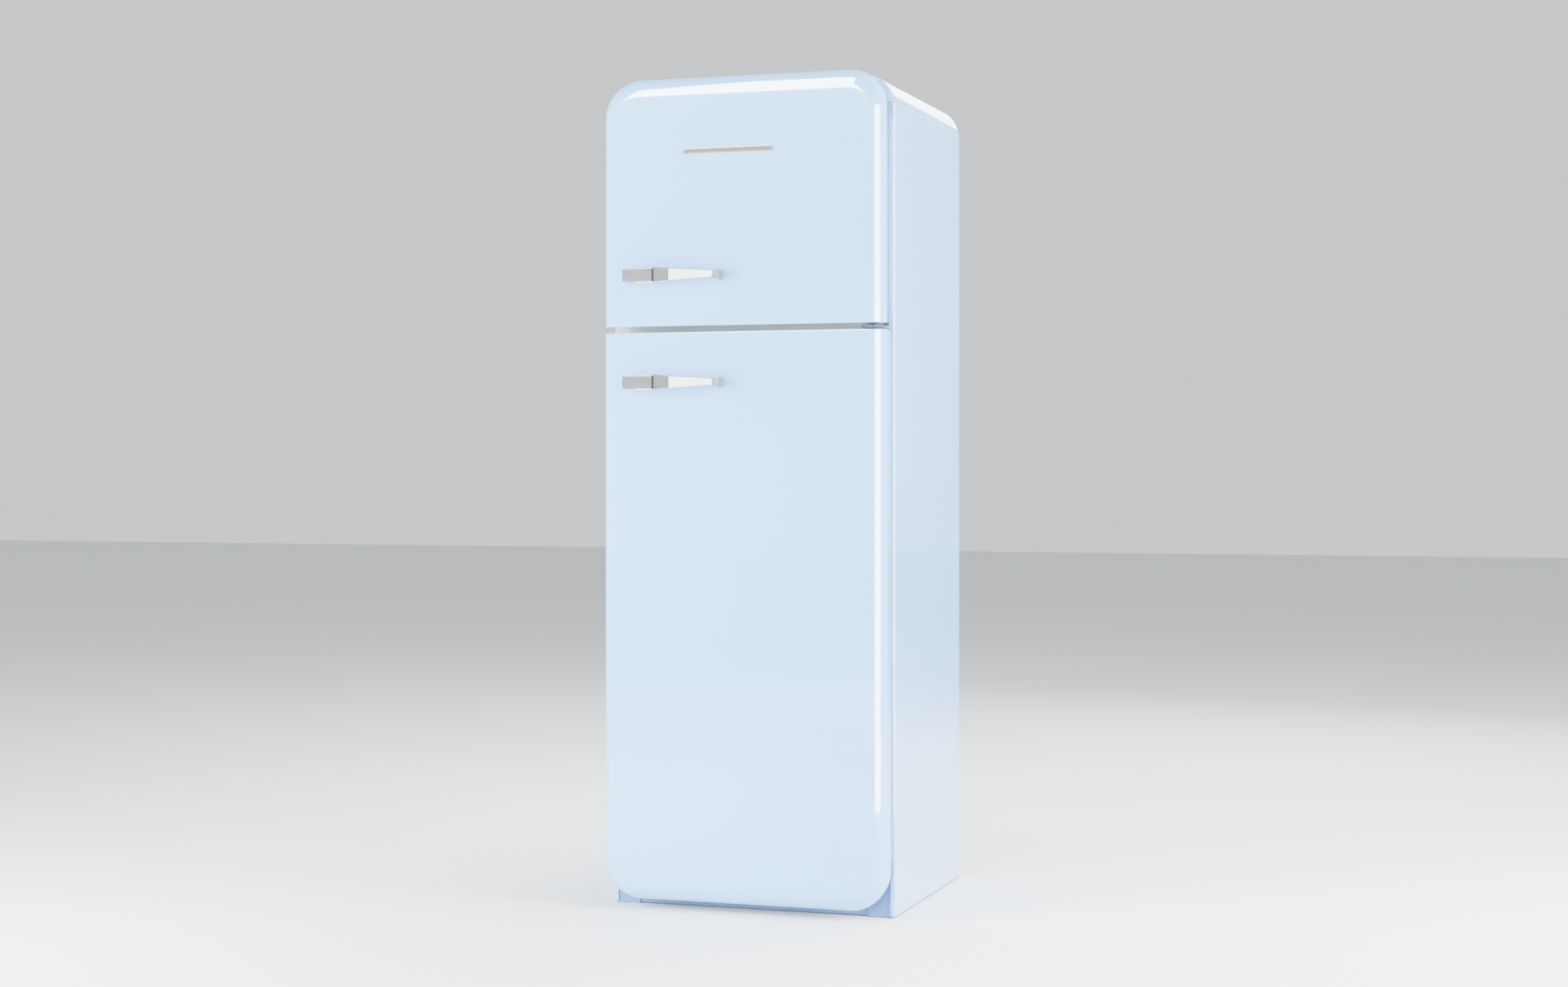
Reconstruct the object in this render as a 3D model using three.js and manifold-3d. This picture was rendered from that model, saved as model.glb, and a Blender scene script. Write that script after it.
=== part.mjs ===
// A top freezer refrigerator with two rounded doors, in millimetres.
// Z is up from the floor, X runs to the user's right and -Y faces the user.
// The pieces are drawn with y = 0 on the cabinet's front face; the last group moves that face so that
// the origin is under the middle of the whole object.
import * as THREE from "three";
import { mergeVertices } from "three/addons/utils/BufferGeometryUtils.js";
import Module from "manifold-3d";

const wasm = await Module();
wasm.setup();

// Cabinet
const WIDTH = 600;
const ROOF = 1684; // top of the roof panel
const DEPTH = 518; // front face to back panel
const SHEET = 1.2; // painted steel sheet
const GAP = 0.3; // between pieces that touch
const ROOF_RADIUS = 64;
const SEAM_DROP = 58; // roof down to the joint with the side panels
const SIDE_BOTTOM = 4; // side panels end above the floor
const FLANGE = 34; // front flange of a side panel
const SKIRT_FLANGE = 8; // the same flange below the doors' opening

// Compartments
const LINER = 2;
const LIP = 8; // liner edge around an opening
const LINER_CORNER = 20;
const CEILING = 99; // roof to freezer ceiling
const FREEZER_HEIGHT = 379;
const FREEZER_WALL = 58;
const MULLION = 56; // between the compartments
const FRIDGE_WALL = 48;
const REAR_WALL = 60;
const FRIDGE_FLOOR = 125;
const STEP_WALL = 40; // insulation in front of the compressor niche
const STEP_ROOF = 36; // insulation above it
const NICHE_DEPTH = 210;
const NICHE_TOP = 282;

// Base
const PAN = 85; // underside of the cabinet floor
const TRAY = 34; // underside of the compressor tray
const RAIL = 13;
const FOOT_X = 30; // in from the side
const FOOT_Y = 45;
const FOOT_RADIUS = 18;
const STUD_RADIUS = 5;
const ROLLER_RADIUS = 15;
const ROLLER_WIDTH = 14;
const ROLLER_X = 32;
const ROLLER_Y = 48; // in from the back
const AXLE_RADIUS = 3;
const PLINTH_RECESS = 6;
const PLINTH_CORNER = 56; // width of a corner block, from the side

// Doors
const DOOR_FRONT = 75; // front face, ahead of the cabinet
const DOOR_RISE = 6; // outline above the roof
const DOOR_BOTTOM = 18;
const DOOR_GAP = 12.5;
const DOOR_CORNER = 79;
const SIDE_ROUND = 30;
const END_ROUND = 38;
const FREEZER_SKIN_DEPTH = 25;
const FRIDGE_SKIN_DEPTH = 46;
const FRAME_INSET = 12; // inner frame, in from the skin's sides
const FRAME_END = 6; // the same at the gap between the doors
const GASKET = 15; // thickness
const GASKET_WIDTH = 16;
const DYKE = 14; // width of the liner's upright ribs
const DYKE_REACH = 40; // into the compartment
const DYKE_CLEARANCE = 12;
const BIN_REACH = 75;
const BIN_WALL = 2.5;

// Hinges
const HINGE_X = 22; // axis, in from the side
const HINGE_Y = 40; // axis, ahead of the cabinet
const PIN_RADIUS = 4;
const PIN_CLEARANCE = 0.4;
const PIN_GRIP = 28; // length inside a door
const BARREL_RADIUS = 12;
const BARREL_HEIGHT = 20;
const ARM_THICKNESS = 5;
const ARM_OFFSET = 40; // from the axis to the arm's rear leg
const POCKET_CLEARANCE = 4;
const TOP_HINGE_DROP = 82; // roof to the barrel's underside
const BOTTOM_HINGE = 84; // underside of the lowest barrel

// Handles: lengths run from the end nearest the doors' free edge
const HANDLE_EDGE = 60; // in from the side
const HANDLE_REACH = 39;
const HANDLE_BACK = 24; // finger gap
const HANDLE_FROM_GAP = 108; // upper handle above the middle of the gap, lower one below it
const GRIP_LENGTH = 64;
const GRIP_HEIGHT = 25;
const GRIP_BLOCK = 25;
const RIBS = 6;
const RIB_DEPTH = 1.6;
const FACET_END = 102;
const ARM_END = 194;
const POST_LENGTH = 11;
const ARM_HEIGHTS = { lips: 32, facet: 25, end: 14 };
const POST_HEIGHT = 20;
const BADGE = { length: 190, height: 15, thickness: 2.6, x: -25, drop: 149 };

// Fittings
const SHELF = 5;
const SHELF_FRONT = 100;
const LEDGE = { reach: 7, height: 6 };
const FRIDGE_SHELVES = ["fridge_shelf_lower", "fridge_shelf_upper"];
const CRISPER_TOP = 296;
const CRISPER_SIDE = 16;
const COVER_RISE = 6; // drawer to the glass above it
const BIN_HEIGHT = 80;
const BOTTLE_BIN_HEIGHT = 120;
const BOTTLE_BIN_RISE = 15;
const DAIRY_DROP = 110; // compartment ceiling to the top of the dairy bin
const DAIRY_HEIGHT = 58;
const FLAP_PIVOT = { y: -8, rise: 13, radius: 4 };
const HOUSING = { width: 220, depth: 160, height: 38 };
const KNOB_RADIUS = 14;
const KNOB_LENGTH = 13;
const EVAPORATOR_SPACE = 57; // freezer's rear wall to its cover
const FAN_RADIUS = 42;
const FAN_DROP = 85;
const FINS = 13;
const ICE_BIN = { width: 130, depth: 230, height: 70, inset: 30 };

// Cooling machine
const COMPRESSOR = { x: -90, radius: 78, height: 170 };
const CONDENSER_REACH = 38;
const CONDENSER_PASSES = 9;
const CONDENSER_WIRES = 4;
const CONDENSER_MARGIN = { side: 45, top: 110, bottom: 60 };

// Places worked out from the sizes above
const half = WIDTH / 2;
const inner = half - SHEET - GAP; // just inside the side panels
const frameHalf = half - FLANGE - GAP; // just inside their front flanges
const seam = ROOF - SEAM_DROP;
const freezerTop = ROOF - CEILING;
const freezerFloor = freezerTop - FREEZER_HEIGHT;
const fridgeTop = freezerFloor - MULLION;
const gapMiddle = (freezerFloor + fridgeTop) / 2;
const rear = DEPTH - REAR_WALL;
const niche = DEPTH - NICHE_DEPTH;
const stepY = niche - STEP_WALL;
const stepTop = NICHE_TOP + STEP_ROOF;
const freezerHalf = half - FREEZER_WALL;
const fridgeHalf = half - FRIDGE_WALL;
const axis = { x: half - HINGE_X, y: -HINGE_Y };
const topHinge = ROOF - TOP_HINGE_DROP;
const holeRadius = PIN_RADIUS + PIN_CLEARANCE;
const middle = (a, b) => (a + b) / 2;

// Solids ------------------------------------------------------------------------------------------

// A closed geometry as a solid that can be joined and cut.
function solid(geometry) {
  const bare = new THREE.BufferGeometry();
  bare.setAttribute("position", geometry.getAttribute("position").clone());
  if (geometry.index) bare.setIndex(geometry.index.clone());
  const merged = mergeVertices(bare, 1e-3);
  const vertProperties = merged.getAttribute("position").array;
  const triVerts = new Uint32Array(merged.index.array);
  return new wasm.Manifold(new wasm.Mesh({ numProp: 3, vertProperties, triVerts }));
}

function box(x0, x1, y0, y1, z0, z1) {
  const block = new THREE.BoxGeometry(x1 - x0, y1 - y0, z1 - z0);
  return solid(block.translate(middle(x0, x1), middle(y0, y1), middle(z0, z1)));
}

// A round bar along one axis; a and b are its place on the two other axes, in X, Y, Z order.
function rod(along, radius, from, to, a, b, sides = 16) {
  const bar = new THREE.CylinderGeometry(radius, radius, to - from, sides);
  if (along === "x") bar.rotateZ(Math.PI / 2).translate(middle(from, to), a, b);
  if (along === "y") bar.translate(a, middle(from, to), b);
  if (along === "z") bar.rotateX(Math.PI / 2).translate(a, b, middle(from, to));
  return solid(bar);
}

// A flat outline pushed along an axis: side outlines (y, z) go along X, front outlines (x, z) along Y
// and plan outlines (x, y) up Z.
function prism(shape, along, from, to) {
  const columns = {
    x: [[0, 1, 0], [0, 0, 1], [1, 0, 0]],
    y: [[1, 0, 0], [0, 0, 1], [0, -1, 0]],
    z: [[1, 0, 0], [0, 1, 0], [0, 0, 1]],
  }[along].map((column) => new THREE.Vector3(...column));
  const start = along === "y" ? -to : from;
  return solid(
    new THREE.ExtrudeGeometry(shape, { depth: to - from, bevelEnabled: false, curveSegments: 5 })
      .translate(0, 0, start)
      .applyMatrix4(new THREE.Matrix4().makeBasis(...columns)),
  );
}

const polygon = (points) => new THREE.Shape(points.map(([u, v]) => new THREE.Vector2(u, v)));

// A rectangle whose corners are rounded; low and high are the radii at its lower and upper corners.
function rounded(u0, u1, v0, v1, low, high = low) {
  const shape = new THREE.Shape();
  shape.absarc(u1 - low, v0 + low, low, -Math.PI / 2, 0);
  shape.absarc(u1 - high, v1 - high, high, 0, Math.PI / 2);
  shape.absarc(u0 + high, v1 - high, high, Math.PI / 2, Math.PI);
  shape.absarc(u0 + low, v0 + low, low, Math.PI, 1.5 * Math.PI);
  return shape;
}

// Rings of points, all of one length, joined into a closed skin with a flat fan over each end.
function loft(rings) {
  const count = rings[0].length;
  const centre = (ring) =>
    ring.reduce((sum, p) => sum.add(p), new THREE.Vector3()).divideScalar(count);
  const points = [...rings.flat(), centre(rings[0]), centre(rings.at(-1))];
  const first = rings.length * count;
  const index = [];
  for (let i = 0; i < count; i++) {
    const j = (i + 1) % count;
    index.push(first, j, i);
    index.push(first + 1, first - count + i, first - count + j);
    for (let row = 0; row < first - count; row += count) {
      index.push(row + i, row + j, row + count + j);
      index.push(row + i, row + count + j, row + count + i);
    }
  }
  return solid(new THREE.BufferGeometry().setFromPoints(points).setIndex(index));
}

// An open-topped box.
function tray(x0, x1, y0, y1, z0, z1, wall) {
  const space = box(x0 + wall, x1 - wall, y0 + wall, y1 - wall, z0 + wall, z1 + 1);
  return box(x0, x1, y0, y1, z0, z1).subtract(space);
}

// Finishes ------------------------------------------------------------------------------------------

const finish = (color, roughness, metalness = 0) =>
  new THREE.MeshStandardMaterial({ color, roughness, metalness });
const enamel = finish(0xcfe0ee, 0.22);
const chrome = finish(0xd8d8da, 0.12, 1);
const zinc = finish(0xa4a8ab, 0.4, 0.9);
const blackSteel = finish(0x1d1e20, 0.45, 0.3);
const whitePlastic = finish(0xeef1f3, 0.35);
const greyPlastic = finish(0xa8b7c6, 0.5);
const foam = finish(0xe6d7a2, 0.9);
const rubber = finish(0xb4bfca, 0.7);
const darkRubber = finish(0x2b2c2e, 0.8);
const glass = finish(0xcfe3e0, 0.08);
const clearPlastic = finish(0xdbe8ee, 0.15);
const aluminium = finish(0xc3c6c8, 0.4, 1);

// Adds one named piece to a group.
function piece(group, name, body, material) {
  const { numProp, vertProperties, triVerts } = body.getMesh();
  const points = new Float32Array((vertProperties.length / numProp) * 3);
  for (let i = 0; i < points.length / 3; i++) {
    points.set(vertProperties.subarray(i * numProp, i * numProp + 3), i * 3);
  }
  const geometry = new THREE.BufferGeometry();
  geometry.setAttribute("position", new THREE.BufferAttribute(points, 3));
  geometry.setIndex(new THREE.BufferAttribute(new Uint32Array(triVerts), 1));
  geometry.computeVertexNormals();
  const mesh = new THREE.Mesh(geometry, material);
  mesh.name = name;
  group.add(mesh);
}

// Cabinet --------------------------------------------------------------------------------------------

// The cabinet's front outline, arched at the roof, drawn in by an inset.
function arch(inset, bottom) {
  const shape = new THREE.Shape();
  const radius = ROOF_RADIUS - inset;
  shape.moveTo(inset - half, bottom);
  shape.lineTo(half - inset, bottom);
  shape.absarc(half - ROOF_RADIUS, ROOF - ROOF_RADIUS, radius, 0, Math.PI / 2);
  shape.absarc(ROOF_RADIUS - half, ROOF - ROOF_RADIUS, radius, Math.PI / 2, Math.PI);
  return shape;
}

function sidePanel(side) {
  const flat = [inner + GAP, half].map((x) => x * side).sort((a, b) => a - b);
  const flange = [
    [half, SIDE_BOTTOM],
    [half - SKIRT_FLANGE, SIDE_BOTTOM],
    [half - SKIRT_FLANGE, PAN],
    [half - FLANGE, PAN],
    [half - FLANGE, seam - GAP],
    [half, seam - GAP],
  ].map(([x, z]) => [x * side, z]);
  return box(...flat, 0, DEPTH, SIDE_BOTTOM, seam - GAP).add(prism(polygon(flange), "y", 0, SHEET));
}

function roofPanel() {
  const above = box(-WIDTH, WIDTH, -1, DEPTH + 1, seam, ROOF + 1);
  const shell = prism(arch(0, PAN), "y", 0, DEPTH)
    .subtract(prism(arch(SHEET, PAN), "y", SHEET, DEPTH + 1))
    .intersect(above);
  const tongue = box(-frameHalf, frameHalf, 0, SHEET, freezerTop + LIP + GAP, seam + 1);
  return shell.add(tongue);
}

// A compartment's liner: a rounded box with an open front, a flat lip round it and ledges for shelves.
function liner(space, shell, floor, top, ledges) {
  const lip = box(-frameHalf, frameHalf, 0, SHEET, floor - LIP, top + LIP);
  return shell.add(lip).subtract(space).add(ledges);
}

const compartment = (halfWidth, floor, top, back, grow) =>
  prism(
    rounded(-halfWidth - grow, halfWidth + grow, floor - grow, top + grow, LINER_CORNER + grow),
    "y",
    grow ? 0 : -1,
    back + grow,
  );

// The refrigerator's space has a step at the back, above the compressor niche.
const fridgeSpace = (grow) =>
  compartment(fridgeHalf, stepTop, fridgeTop, rear, grow).add(
    compartment(fridgeHalf, FRIDGE_FLOOR, fridgeTop, stepY, grow),
  );
const freezerSpace = (grow) => compartment(freezerHalf, freezerFloor, freezerTop, rear, grow);

// A pair of ledges on the side walls, for a shelf at height z that reaches back to y1.
function ledges(halfWidth, z, y1) {
  const one = (side) => {
    const [x0, x1] = [halfWidth - LEDGE.reach, halfWidth + LINER / 2].map((x) => x * side);
    const [low, high] = side > 0 ? [x0, x1] : [x1, x0];
    return box(low, high, SHELF_FRONT, y1, z - GAP - LEDGE.height, z - GAP);
  };
  return one(1).add(one(-1));
}

const coverZ = CRISPER_TOP + COVER_RISE;
const shelfPitch = (fridgeTop - coverZ) / (FRIDGE_SHELVES.length + 1);
const shelfHeights = FRIDGE_SHELVES.map((_, i) => coverZ + shelfPitch * (i + 1));
const freezerShelfZ = middle(freezerFloor, freezerTop);
const coverFront = rear - EVAPORATOR_SPACE;

function fridgeLiner() {
  const rests = shelfHeights
    .map((z) => ledges(fridgeHalf, z, rear + LINER / 2))
    .reduce((a, b) => a.add(b), ledges(fridgeHalf, coverZ, stepY + LINER / 2));
  return liner(fridgeSpace(0), fridgeSpace(LINER), FRIDGE_FLOOR, fridgeTop, rests);
}

function freezerLiner() {
  const rests = ledges(freezerHalf, freezerShelfZ, coverFront - 2 * GAP);
  return liner(freezerSpace(0), freezerSpace(LINER), freezerFloor, freezerTop, rests);
}

const railBottom = fridgeTop + LIP + GAP;
const railTop = freezerFloor - LIP - GAP;
const RAIL_DEPTH = 14;

function centreRail() {
  const channel = box(-frameHalf, frameHalf, 0, RAIL_DEPTH, railBottom, railTop);
  const back = RAIL_DEPTH + 1;
  return channel.subtract(box(-half, half, SHEET, back, railBottom + SHEET, railTop - SHEET));
}

function cabinetFoam() {
  const skin = SHEET + GAP;
  const clear = LINER + GAP;
  return prism(arch(skin, PAN + skin), "y", skin, DEPTH - skin)
    .subtract(box(-half, half, niche - skin, DEPTH, 0, NICHE_TOP + skin))
    .subtract(fridgeSpace(clear))
    .subtract(freezerSpace(clear))
    .subtract(box(-half, half, 0, RAIL_DEPTH + GAP, railBottom - GAP, railTop + GAP));
}

// The steel base: sill, cabinet floor, niche wall and ceiling in one folded sheet, on two rails that
// carry the compressor tray, the brackets of the front feet and the ears of the rear rollers.
function basePan() {
  const end = DEPTH - 3;
  const fold = polygon([
    [0, PAN],
    [niche, PAN],
    [niche, NICHE_TOP],
    [DEPTH - SHEET, NICHE_TOP],
    [DEPTH - SHEET, NICHE_TOP + SHEET],
    [niche - SHEET, NICHE_TOP + SHEET],
    [niche - SHEET, PAN + SHEET],
    [SHEET, PAN + SHEET],
    [SHEET, FRIDGE_FLOOR - LIP - GAP],
    [0, FRIDGE_FLOOR - LIP - GAP],
  ]);
  const sill = box(-WIDTH, WIDTH, -1, SHEET + GAP, PAN + SHEET, FRIDGE_FLOOR).subtract(
    box(-frameHalf, frameHalf, -2, DEPTH, PAN, FRIDGE_FLOOR + 1),
  );
  const corner = box(-WIDTH, WIDTH, -1, SHEET + GAP, PAN - 1, PAN + SHEET).subtract(
    box(-frameHalf, frameHalf, -2, DEPTH, PAN - 2, FRIDGE_FLOOR),
  );
  let pan = prism(fold, "x", -inner, inner).subtract(sill).subtract(corner);
  pan = pan.add(box(-inner, inner, niche, end, TRAY, TRAY + LINER));
  for (const side of [-1, 1]) {
    const span = (a, b) => [a * side, b * side].sort((p, q) => p - q);
    const footX = half - FOOT_X;
    const rollerX = half - ROLLER_X;
    const rollerY = DEPTH - ROLLER_Y;
    pan = pan
      .add(box(...span(inner - RAIL, inner), FOOT_Y / 2, end, TRAY, PAN + SHEET / 2))
      .add(
        box(
          ...span(footX - FOOT_RADIUS, inner),
          FOOT_Y - FOOT_RADIUS,
          FOOT_Y + FOOT_RADIUS,
          TRAY,
          TRAY + 4,
        ),
      )
      .subtract(rod("z", STUD_RADIUS + PIN_CLEARANCE, TRAY - 1, TRAY + 5, footX * side, FOOT_Y));
    for (const ear of [-1, 1]) {
      const inside = rollerX + ear * (ROLLER_WIDTH / 2 + 0.5);
      const ears = box(
        ...span(inside, inside + 2 * ear),
        rollerY - 11,
        rollerY + 11,
        ROLLER_RADIUS - 8,
        TRAY + 1,
      );
      pan = pan.add(ears);
    }
    const hole = span(rollerX - ROLLER_WIDTH, rollerX + ROLLER_WIDTH);
    pan = pan.subtract(rod("x", AXLE_RADIUS + PIN_CLEARANCE, ...hole, rollerY, ROLLER_RADIUS, 16));
  }
  return pan;
}

// Cabinet's own pieces, outside and in.
function addCabinet(group) {
  piece(group, "side_panel_left", sidePanel(-1), enamel);
  piece(group, "side_panel_right", sidePanel(1), enamel);
  piece(group, "roof_panel", roofPanel(), enamel);
  const back = prism(arch(SHEET + GAP, NICHE_TOP + SHEET + GAP), "y", DEPTH - SHEET, DEPTH);
  piece(group, "back_panel", back, zinc);
  piece(group, "base_pan", basePan(), zinc);
  piece(group, "cabinet_foam", cabinetFoam(), foam);
  piece(group, "freezer_liner", freezerLiner(), whitePlastic);
  piece(group, "fridge_liner", fridgeLiner(), whitePlastic);
  piece(group, "centre_rail", centreRail(), enamel);
  const split = half - PLINTH_CORNER;
  const top = PAN - GAP;
  const board = box(GAP - split, split - GAP, PLINTH_RECESS, PLINTH_RECESS + 2.5, 3, top);
  piece(group, "plinth_centre", board, greyPlastic);
  const deep = FOOT_Y - FOOT_RADIUS - 9;
  const rightCorner = box(split, inner - GAP, PLINTH_RECESS - 3, deep, 1, top);
  const leftCorner = box(GAP - inner, -split, PLINTH_RECESS - 3, deep, 1, top);
  piece(group, "plinth_corner_left", leftCorner, greyPlastic);
  piece(group, "plinth_corner_right", rightCorner, greyPlastic);
}

// Two screw feet under the front and two rollers on short axles under the back.
function addFeet(group) {
  for (const [side, name] of [[-1, "left"], [1, "right"]]) {
    const footAt = new THREE.Group();
    footAt.position.set(side * (half - FOOT_X), FOOT_Y, 0);
    const pad = rod("z", FOOT_RADIUS, 0, 9, 0, 0, 16);
    const foot = pad.add(rod("z", STUD_RADIUS, 8, TRAY + 26, 0, 0, 12));
    piece(footAt, "front_foot_" + name, foot, darkRubber);
    const rollerAt = new THREE.Group();
    rollerAt.position.set(side * (half - ROLLER_X), DEPTH - ROLLER_Y, ROLLER_RADIUS);
    const w = ROLLER_WIDTH / 2;
    const wheel = rod("x", ROLLER_RADIUS, -w, w, 0, 0).subtract(
      rod("x", AXLE_RADIUS + PIN_CLEARANCE, -ROLLER_WIDTH, ROLLER_WIDTH, 0, 0, 16),
    );
    piece(rollerAt, "rear_roller_" + name, wheel, darkRubber);
    const axle = rod("x", AXLE_RADIUS, -w - 5, w + 5, 0, 0, 12);
    piece(rollerAt, "roller_axle_" + name, axle, zinc);
    group.add(footAt, rollerAt);
  }
}

// Hinges ---------------------------------------------------------------------------------------------

// A cranked arm that leaves the cabinet inside the door's rear pocket and ends in a barrel.
function crankedHinge(z) {
  const legX = axis.x - ARM_OFFSET;
  const w = BARREL_RADIUS;
  const arm = polygon([
    [legX - w, -GAP],
    [legX - w, axis.y - w],
    [axis.x, axis.y - w],
    [axis.x, axis.y + w],
    [legX + w, axis.y + w],
    [legX + w, -GAP],
  ]);
  const low = z + (BARREL_HEIGHT - ARM_THICKNESS) / 2;
  return prism(arm, "z", low, low + ARM_THICKNESS)
    .add(rod("z", BARREL_RADIUS, z, z + BARREL_HEIGHT, axis.x, axis.y))
    .add(box(legX - w, legX + w, -3 - GAP, -GAP, z, z + BARREL_HEIGHT))
    .subtract(rod("z", holeRadius, z - 1, z + BARREL_HEIGHT + 1, axis.x, axis.y));
}

// A flat bracket in the gap between the doors.
function middleHinge() {
  const low = gapMiddle - ARM_THICKNESS / 2;
  const w = PLINTH_CORNER - HINGE_X;
  const plan = new THREE.Shape();
  plan.moveTo(axis.x - w, -GAP);
  plan.lineTo(axis.x - w, axis.y);
  plan.absarc(axis.x - w + BARREL_RADIUS, axis.y, BARREL_RADIUS, Math.PI, 1.5 * Math.PI);
  plan.absarc(axis.x, axis.y, BARREL_RADIUS, -Math.PI / 2, 0);
  plan.lineTo(axis.x + BARREL_RADIUS, -GAP);
  const foot = box(
    axis.x - w,
    axis.x + BARREL_RADIUS,
    -3 - GAP,
    -GAP,
    gapMiddle - BARREL_HEIGHT / 2,
    gapMiddle + BARREL_HEIGHT / 2,
  );
  return prism(plan, "z", low, low + ARM_THICKNESS)
    .add(foot)
    .subtract(rod("z", holeRadius, low - 1, low + ARM_THICKNESS + 1, axis.x, axis.y));
}

function addHinges(group) {
  piece(group, "top_hinge", crankedHinge(topHinge), zinc);
  piece(group, "middle_hinge", middleHinge(), zinc);
  piece(group, "bottom_hinge", crankedHinge(BOTTOM_HINGE), zinc);
  const pin = (from, to) => rod("z", PIN_RADIUS, from, to, axis.x, axis.y, 20);
  const barrelTop = BOTTOM_HINGE + BARREL_HEIGHT;
  piece(group, "top_hinge_pin", pin(topHinge - PIN_GRIP, topHinge + BARREL_HEIGHT), zinc);
  piece(group, "middle_hinge_pin", pin(gapMiddle - PIN_GRIP, gapMiddle + PIN_GRIP), zinc);
  piece(group, "bottom_hinge_pin", pin(BOTTOM_HINGE, barrelTop + PIN_GRIP), zinc);
}

// Doors ----------------------------------------------------------------------------------------------

// A pressed door front: a rounded rectangle whose edges roll over to the front face, drawn in by an
// inset. The roll is wider at the ends than at the sides.
function pillow(z0, z1, inset) {
  const steps = 8;
  const corner = DOOR_CORNER - inset;
  const centres = [[1, 1], [-1, 1], [-1, -1], [1, -1]];
  const ring = (turn, depth) => {
    const points = [];
    centres.forEach(([sx, sz], quarter) => {
      const cx = sx * (half - DOOR_CORNER);
      const cz = sz > 0 ? z1 - DOOR_CORNER : z0 + DOOR_CORNER;
      for (let k = 0; k <= steps; k++) {
        const angle = (quarter + k / steps) * (Math.PI / 2);
        const [c, s] = [Math.cos(angle), Math.sin(angle)];
        const roll = THREE.MathUtils.lerp(SIDE_ROUND, END_ROUND, s * s) - inset;
        const reach = corner - roll * (1 - Math.cos(turn));
        const y = depth ?? inset - DOOR_FRONT + roll * (1 - Math.sin(turn));
        points.push(new THREE.Vector3(cx + reach * c, y, cz + reach * s));
      }
    });
    return points;
  };
  const rolls = 6;
  const turned = Array.from({ length: rolls + 1 }, (_, i) => ring((i / rolls) * (Math.PI / 2)));
  return loft([ring(0, GASKET), ...turned]);
}

// One door. rounding says which end has the big corners; the other end is cut flat at the gap.
function doorBlank(door, inset, backY) {
  const { bottom, top, roundedTop } = door;
  const spare = 2 * DOOR_CORNER;
  const body = roundedTop ? pillow(bottom - spare, top, inset) : pillow(bottom, top + spare, inset);
  const low = roundedTop ? bottom + inset : bottom - 1;
  const high = roundedTop ? top + 1 : top - inset;
  return body.intersect(box(-WIDTH, WIDTH, -2 * DOOR_FRONT, backY, low, high));
}

// The outline of the frame behind the skin, drawn in by a further inset.
function frameOutline(door, inset) {
  const side = half - FRAME_INSET - inset;
  const big = DOOR_CORNER - FRAME_INSET - inset;
  const small = 3;
  return door.roundedTop
    ? rounded(-side, side, door.bottom + FRAME_END + inset, door.top - FRAME_INSET - inset, small, big)
    : rounded(-side, side, door.bottom + FRAME_INSET + inset, door.top - FRAME_END - inset, big, small);
}

// Room for the hinges: a pocket behind the skin where a cranked arm swings, and holes for the pins.
function hingeRoom(door) {
  const barrel = door.pocket;
  const reach = ARM_OFFSET + BARREL_RADIUS + POCKET_CLEARANCE + 2;
  const pocket = box(
    axis.x - reach,
    half + 1,
    axis.y - BARREL_RADIUS - 2,
    1,
    barrel - POCKET_CLEARANCE,
    barrel + BARREL_HEIGHT + POCKET_CLEARANCE,
  );
  const outer = rod("z", holeRadius, ...door.pinHole, axis.x, axis.y);
  const atGap = rod("z", holeRadius, ...door.gapHole, axis.x, axis.y);
  return pocket.add(outer).add(atGap);
}

// A magnetic seal ring on the back of the door.
function gasket(door) {
  const side = axis.x;
  const low = door.seal[0];
  const high = door.seal[1];
  const w = GASKET_WIDTH;
  const ring = prism(rounded(-side, side, low, high, LINER_CORNER), "y", GAP - GASKET, -GAP);
  const hole = rounded(w - side, side - w, low + w, high - w, 6);
  return ring.subtract(prism(hole, "y", -GASKET, 1));
}

// The white inner skin: a tray behind the pressed front, with two upright ribs that carry the bins.
function doorLiner(door, room) {
  const back = door.skinDepth - DOOR_FRONT;
  const outside = prism(frameOutline(door, 0), "y", back - 3, -GASKET);
  const inside = prism(frameOutline(door, LINER), "y", back - 9, -GASKET - LINER);
  const edge = doorBlank(door, SHEET + GAP, back - 1).subtract(
    box(-WIDTH, WIDTH, -2 * DOOR_FRONT, back - 3, 0, 2 * ROOF),
  );
  let body = outside.add(edge).subtract(inside);
  const outer = door.opening - DYKE_CLEARANCE;
  for (const side of [-1, 1]) {
    const [x0, x1] = [side * (outer - DYKE), side * outer].sort((a, b) => a - b);
    const [z0, z1] = door.dykes;
    body = body.add(box(x0, x1, -GASKET - 1, DYKE_REACH, z0, z1));
  }
  return body.subtract(room);
}

function doorFoam(door, room) {
  const back = door.skinDepth - DOOR_FRONT;
  const front = doorBlank(door, SHEET + GAP, back - 3 - GAP);
  const core = prism(frameOutline(door, LINER + GAP), "y", back - 9, -GASKET - LINER - GAP);
  return front.add(core).subtract(room);
}

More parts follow.
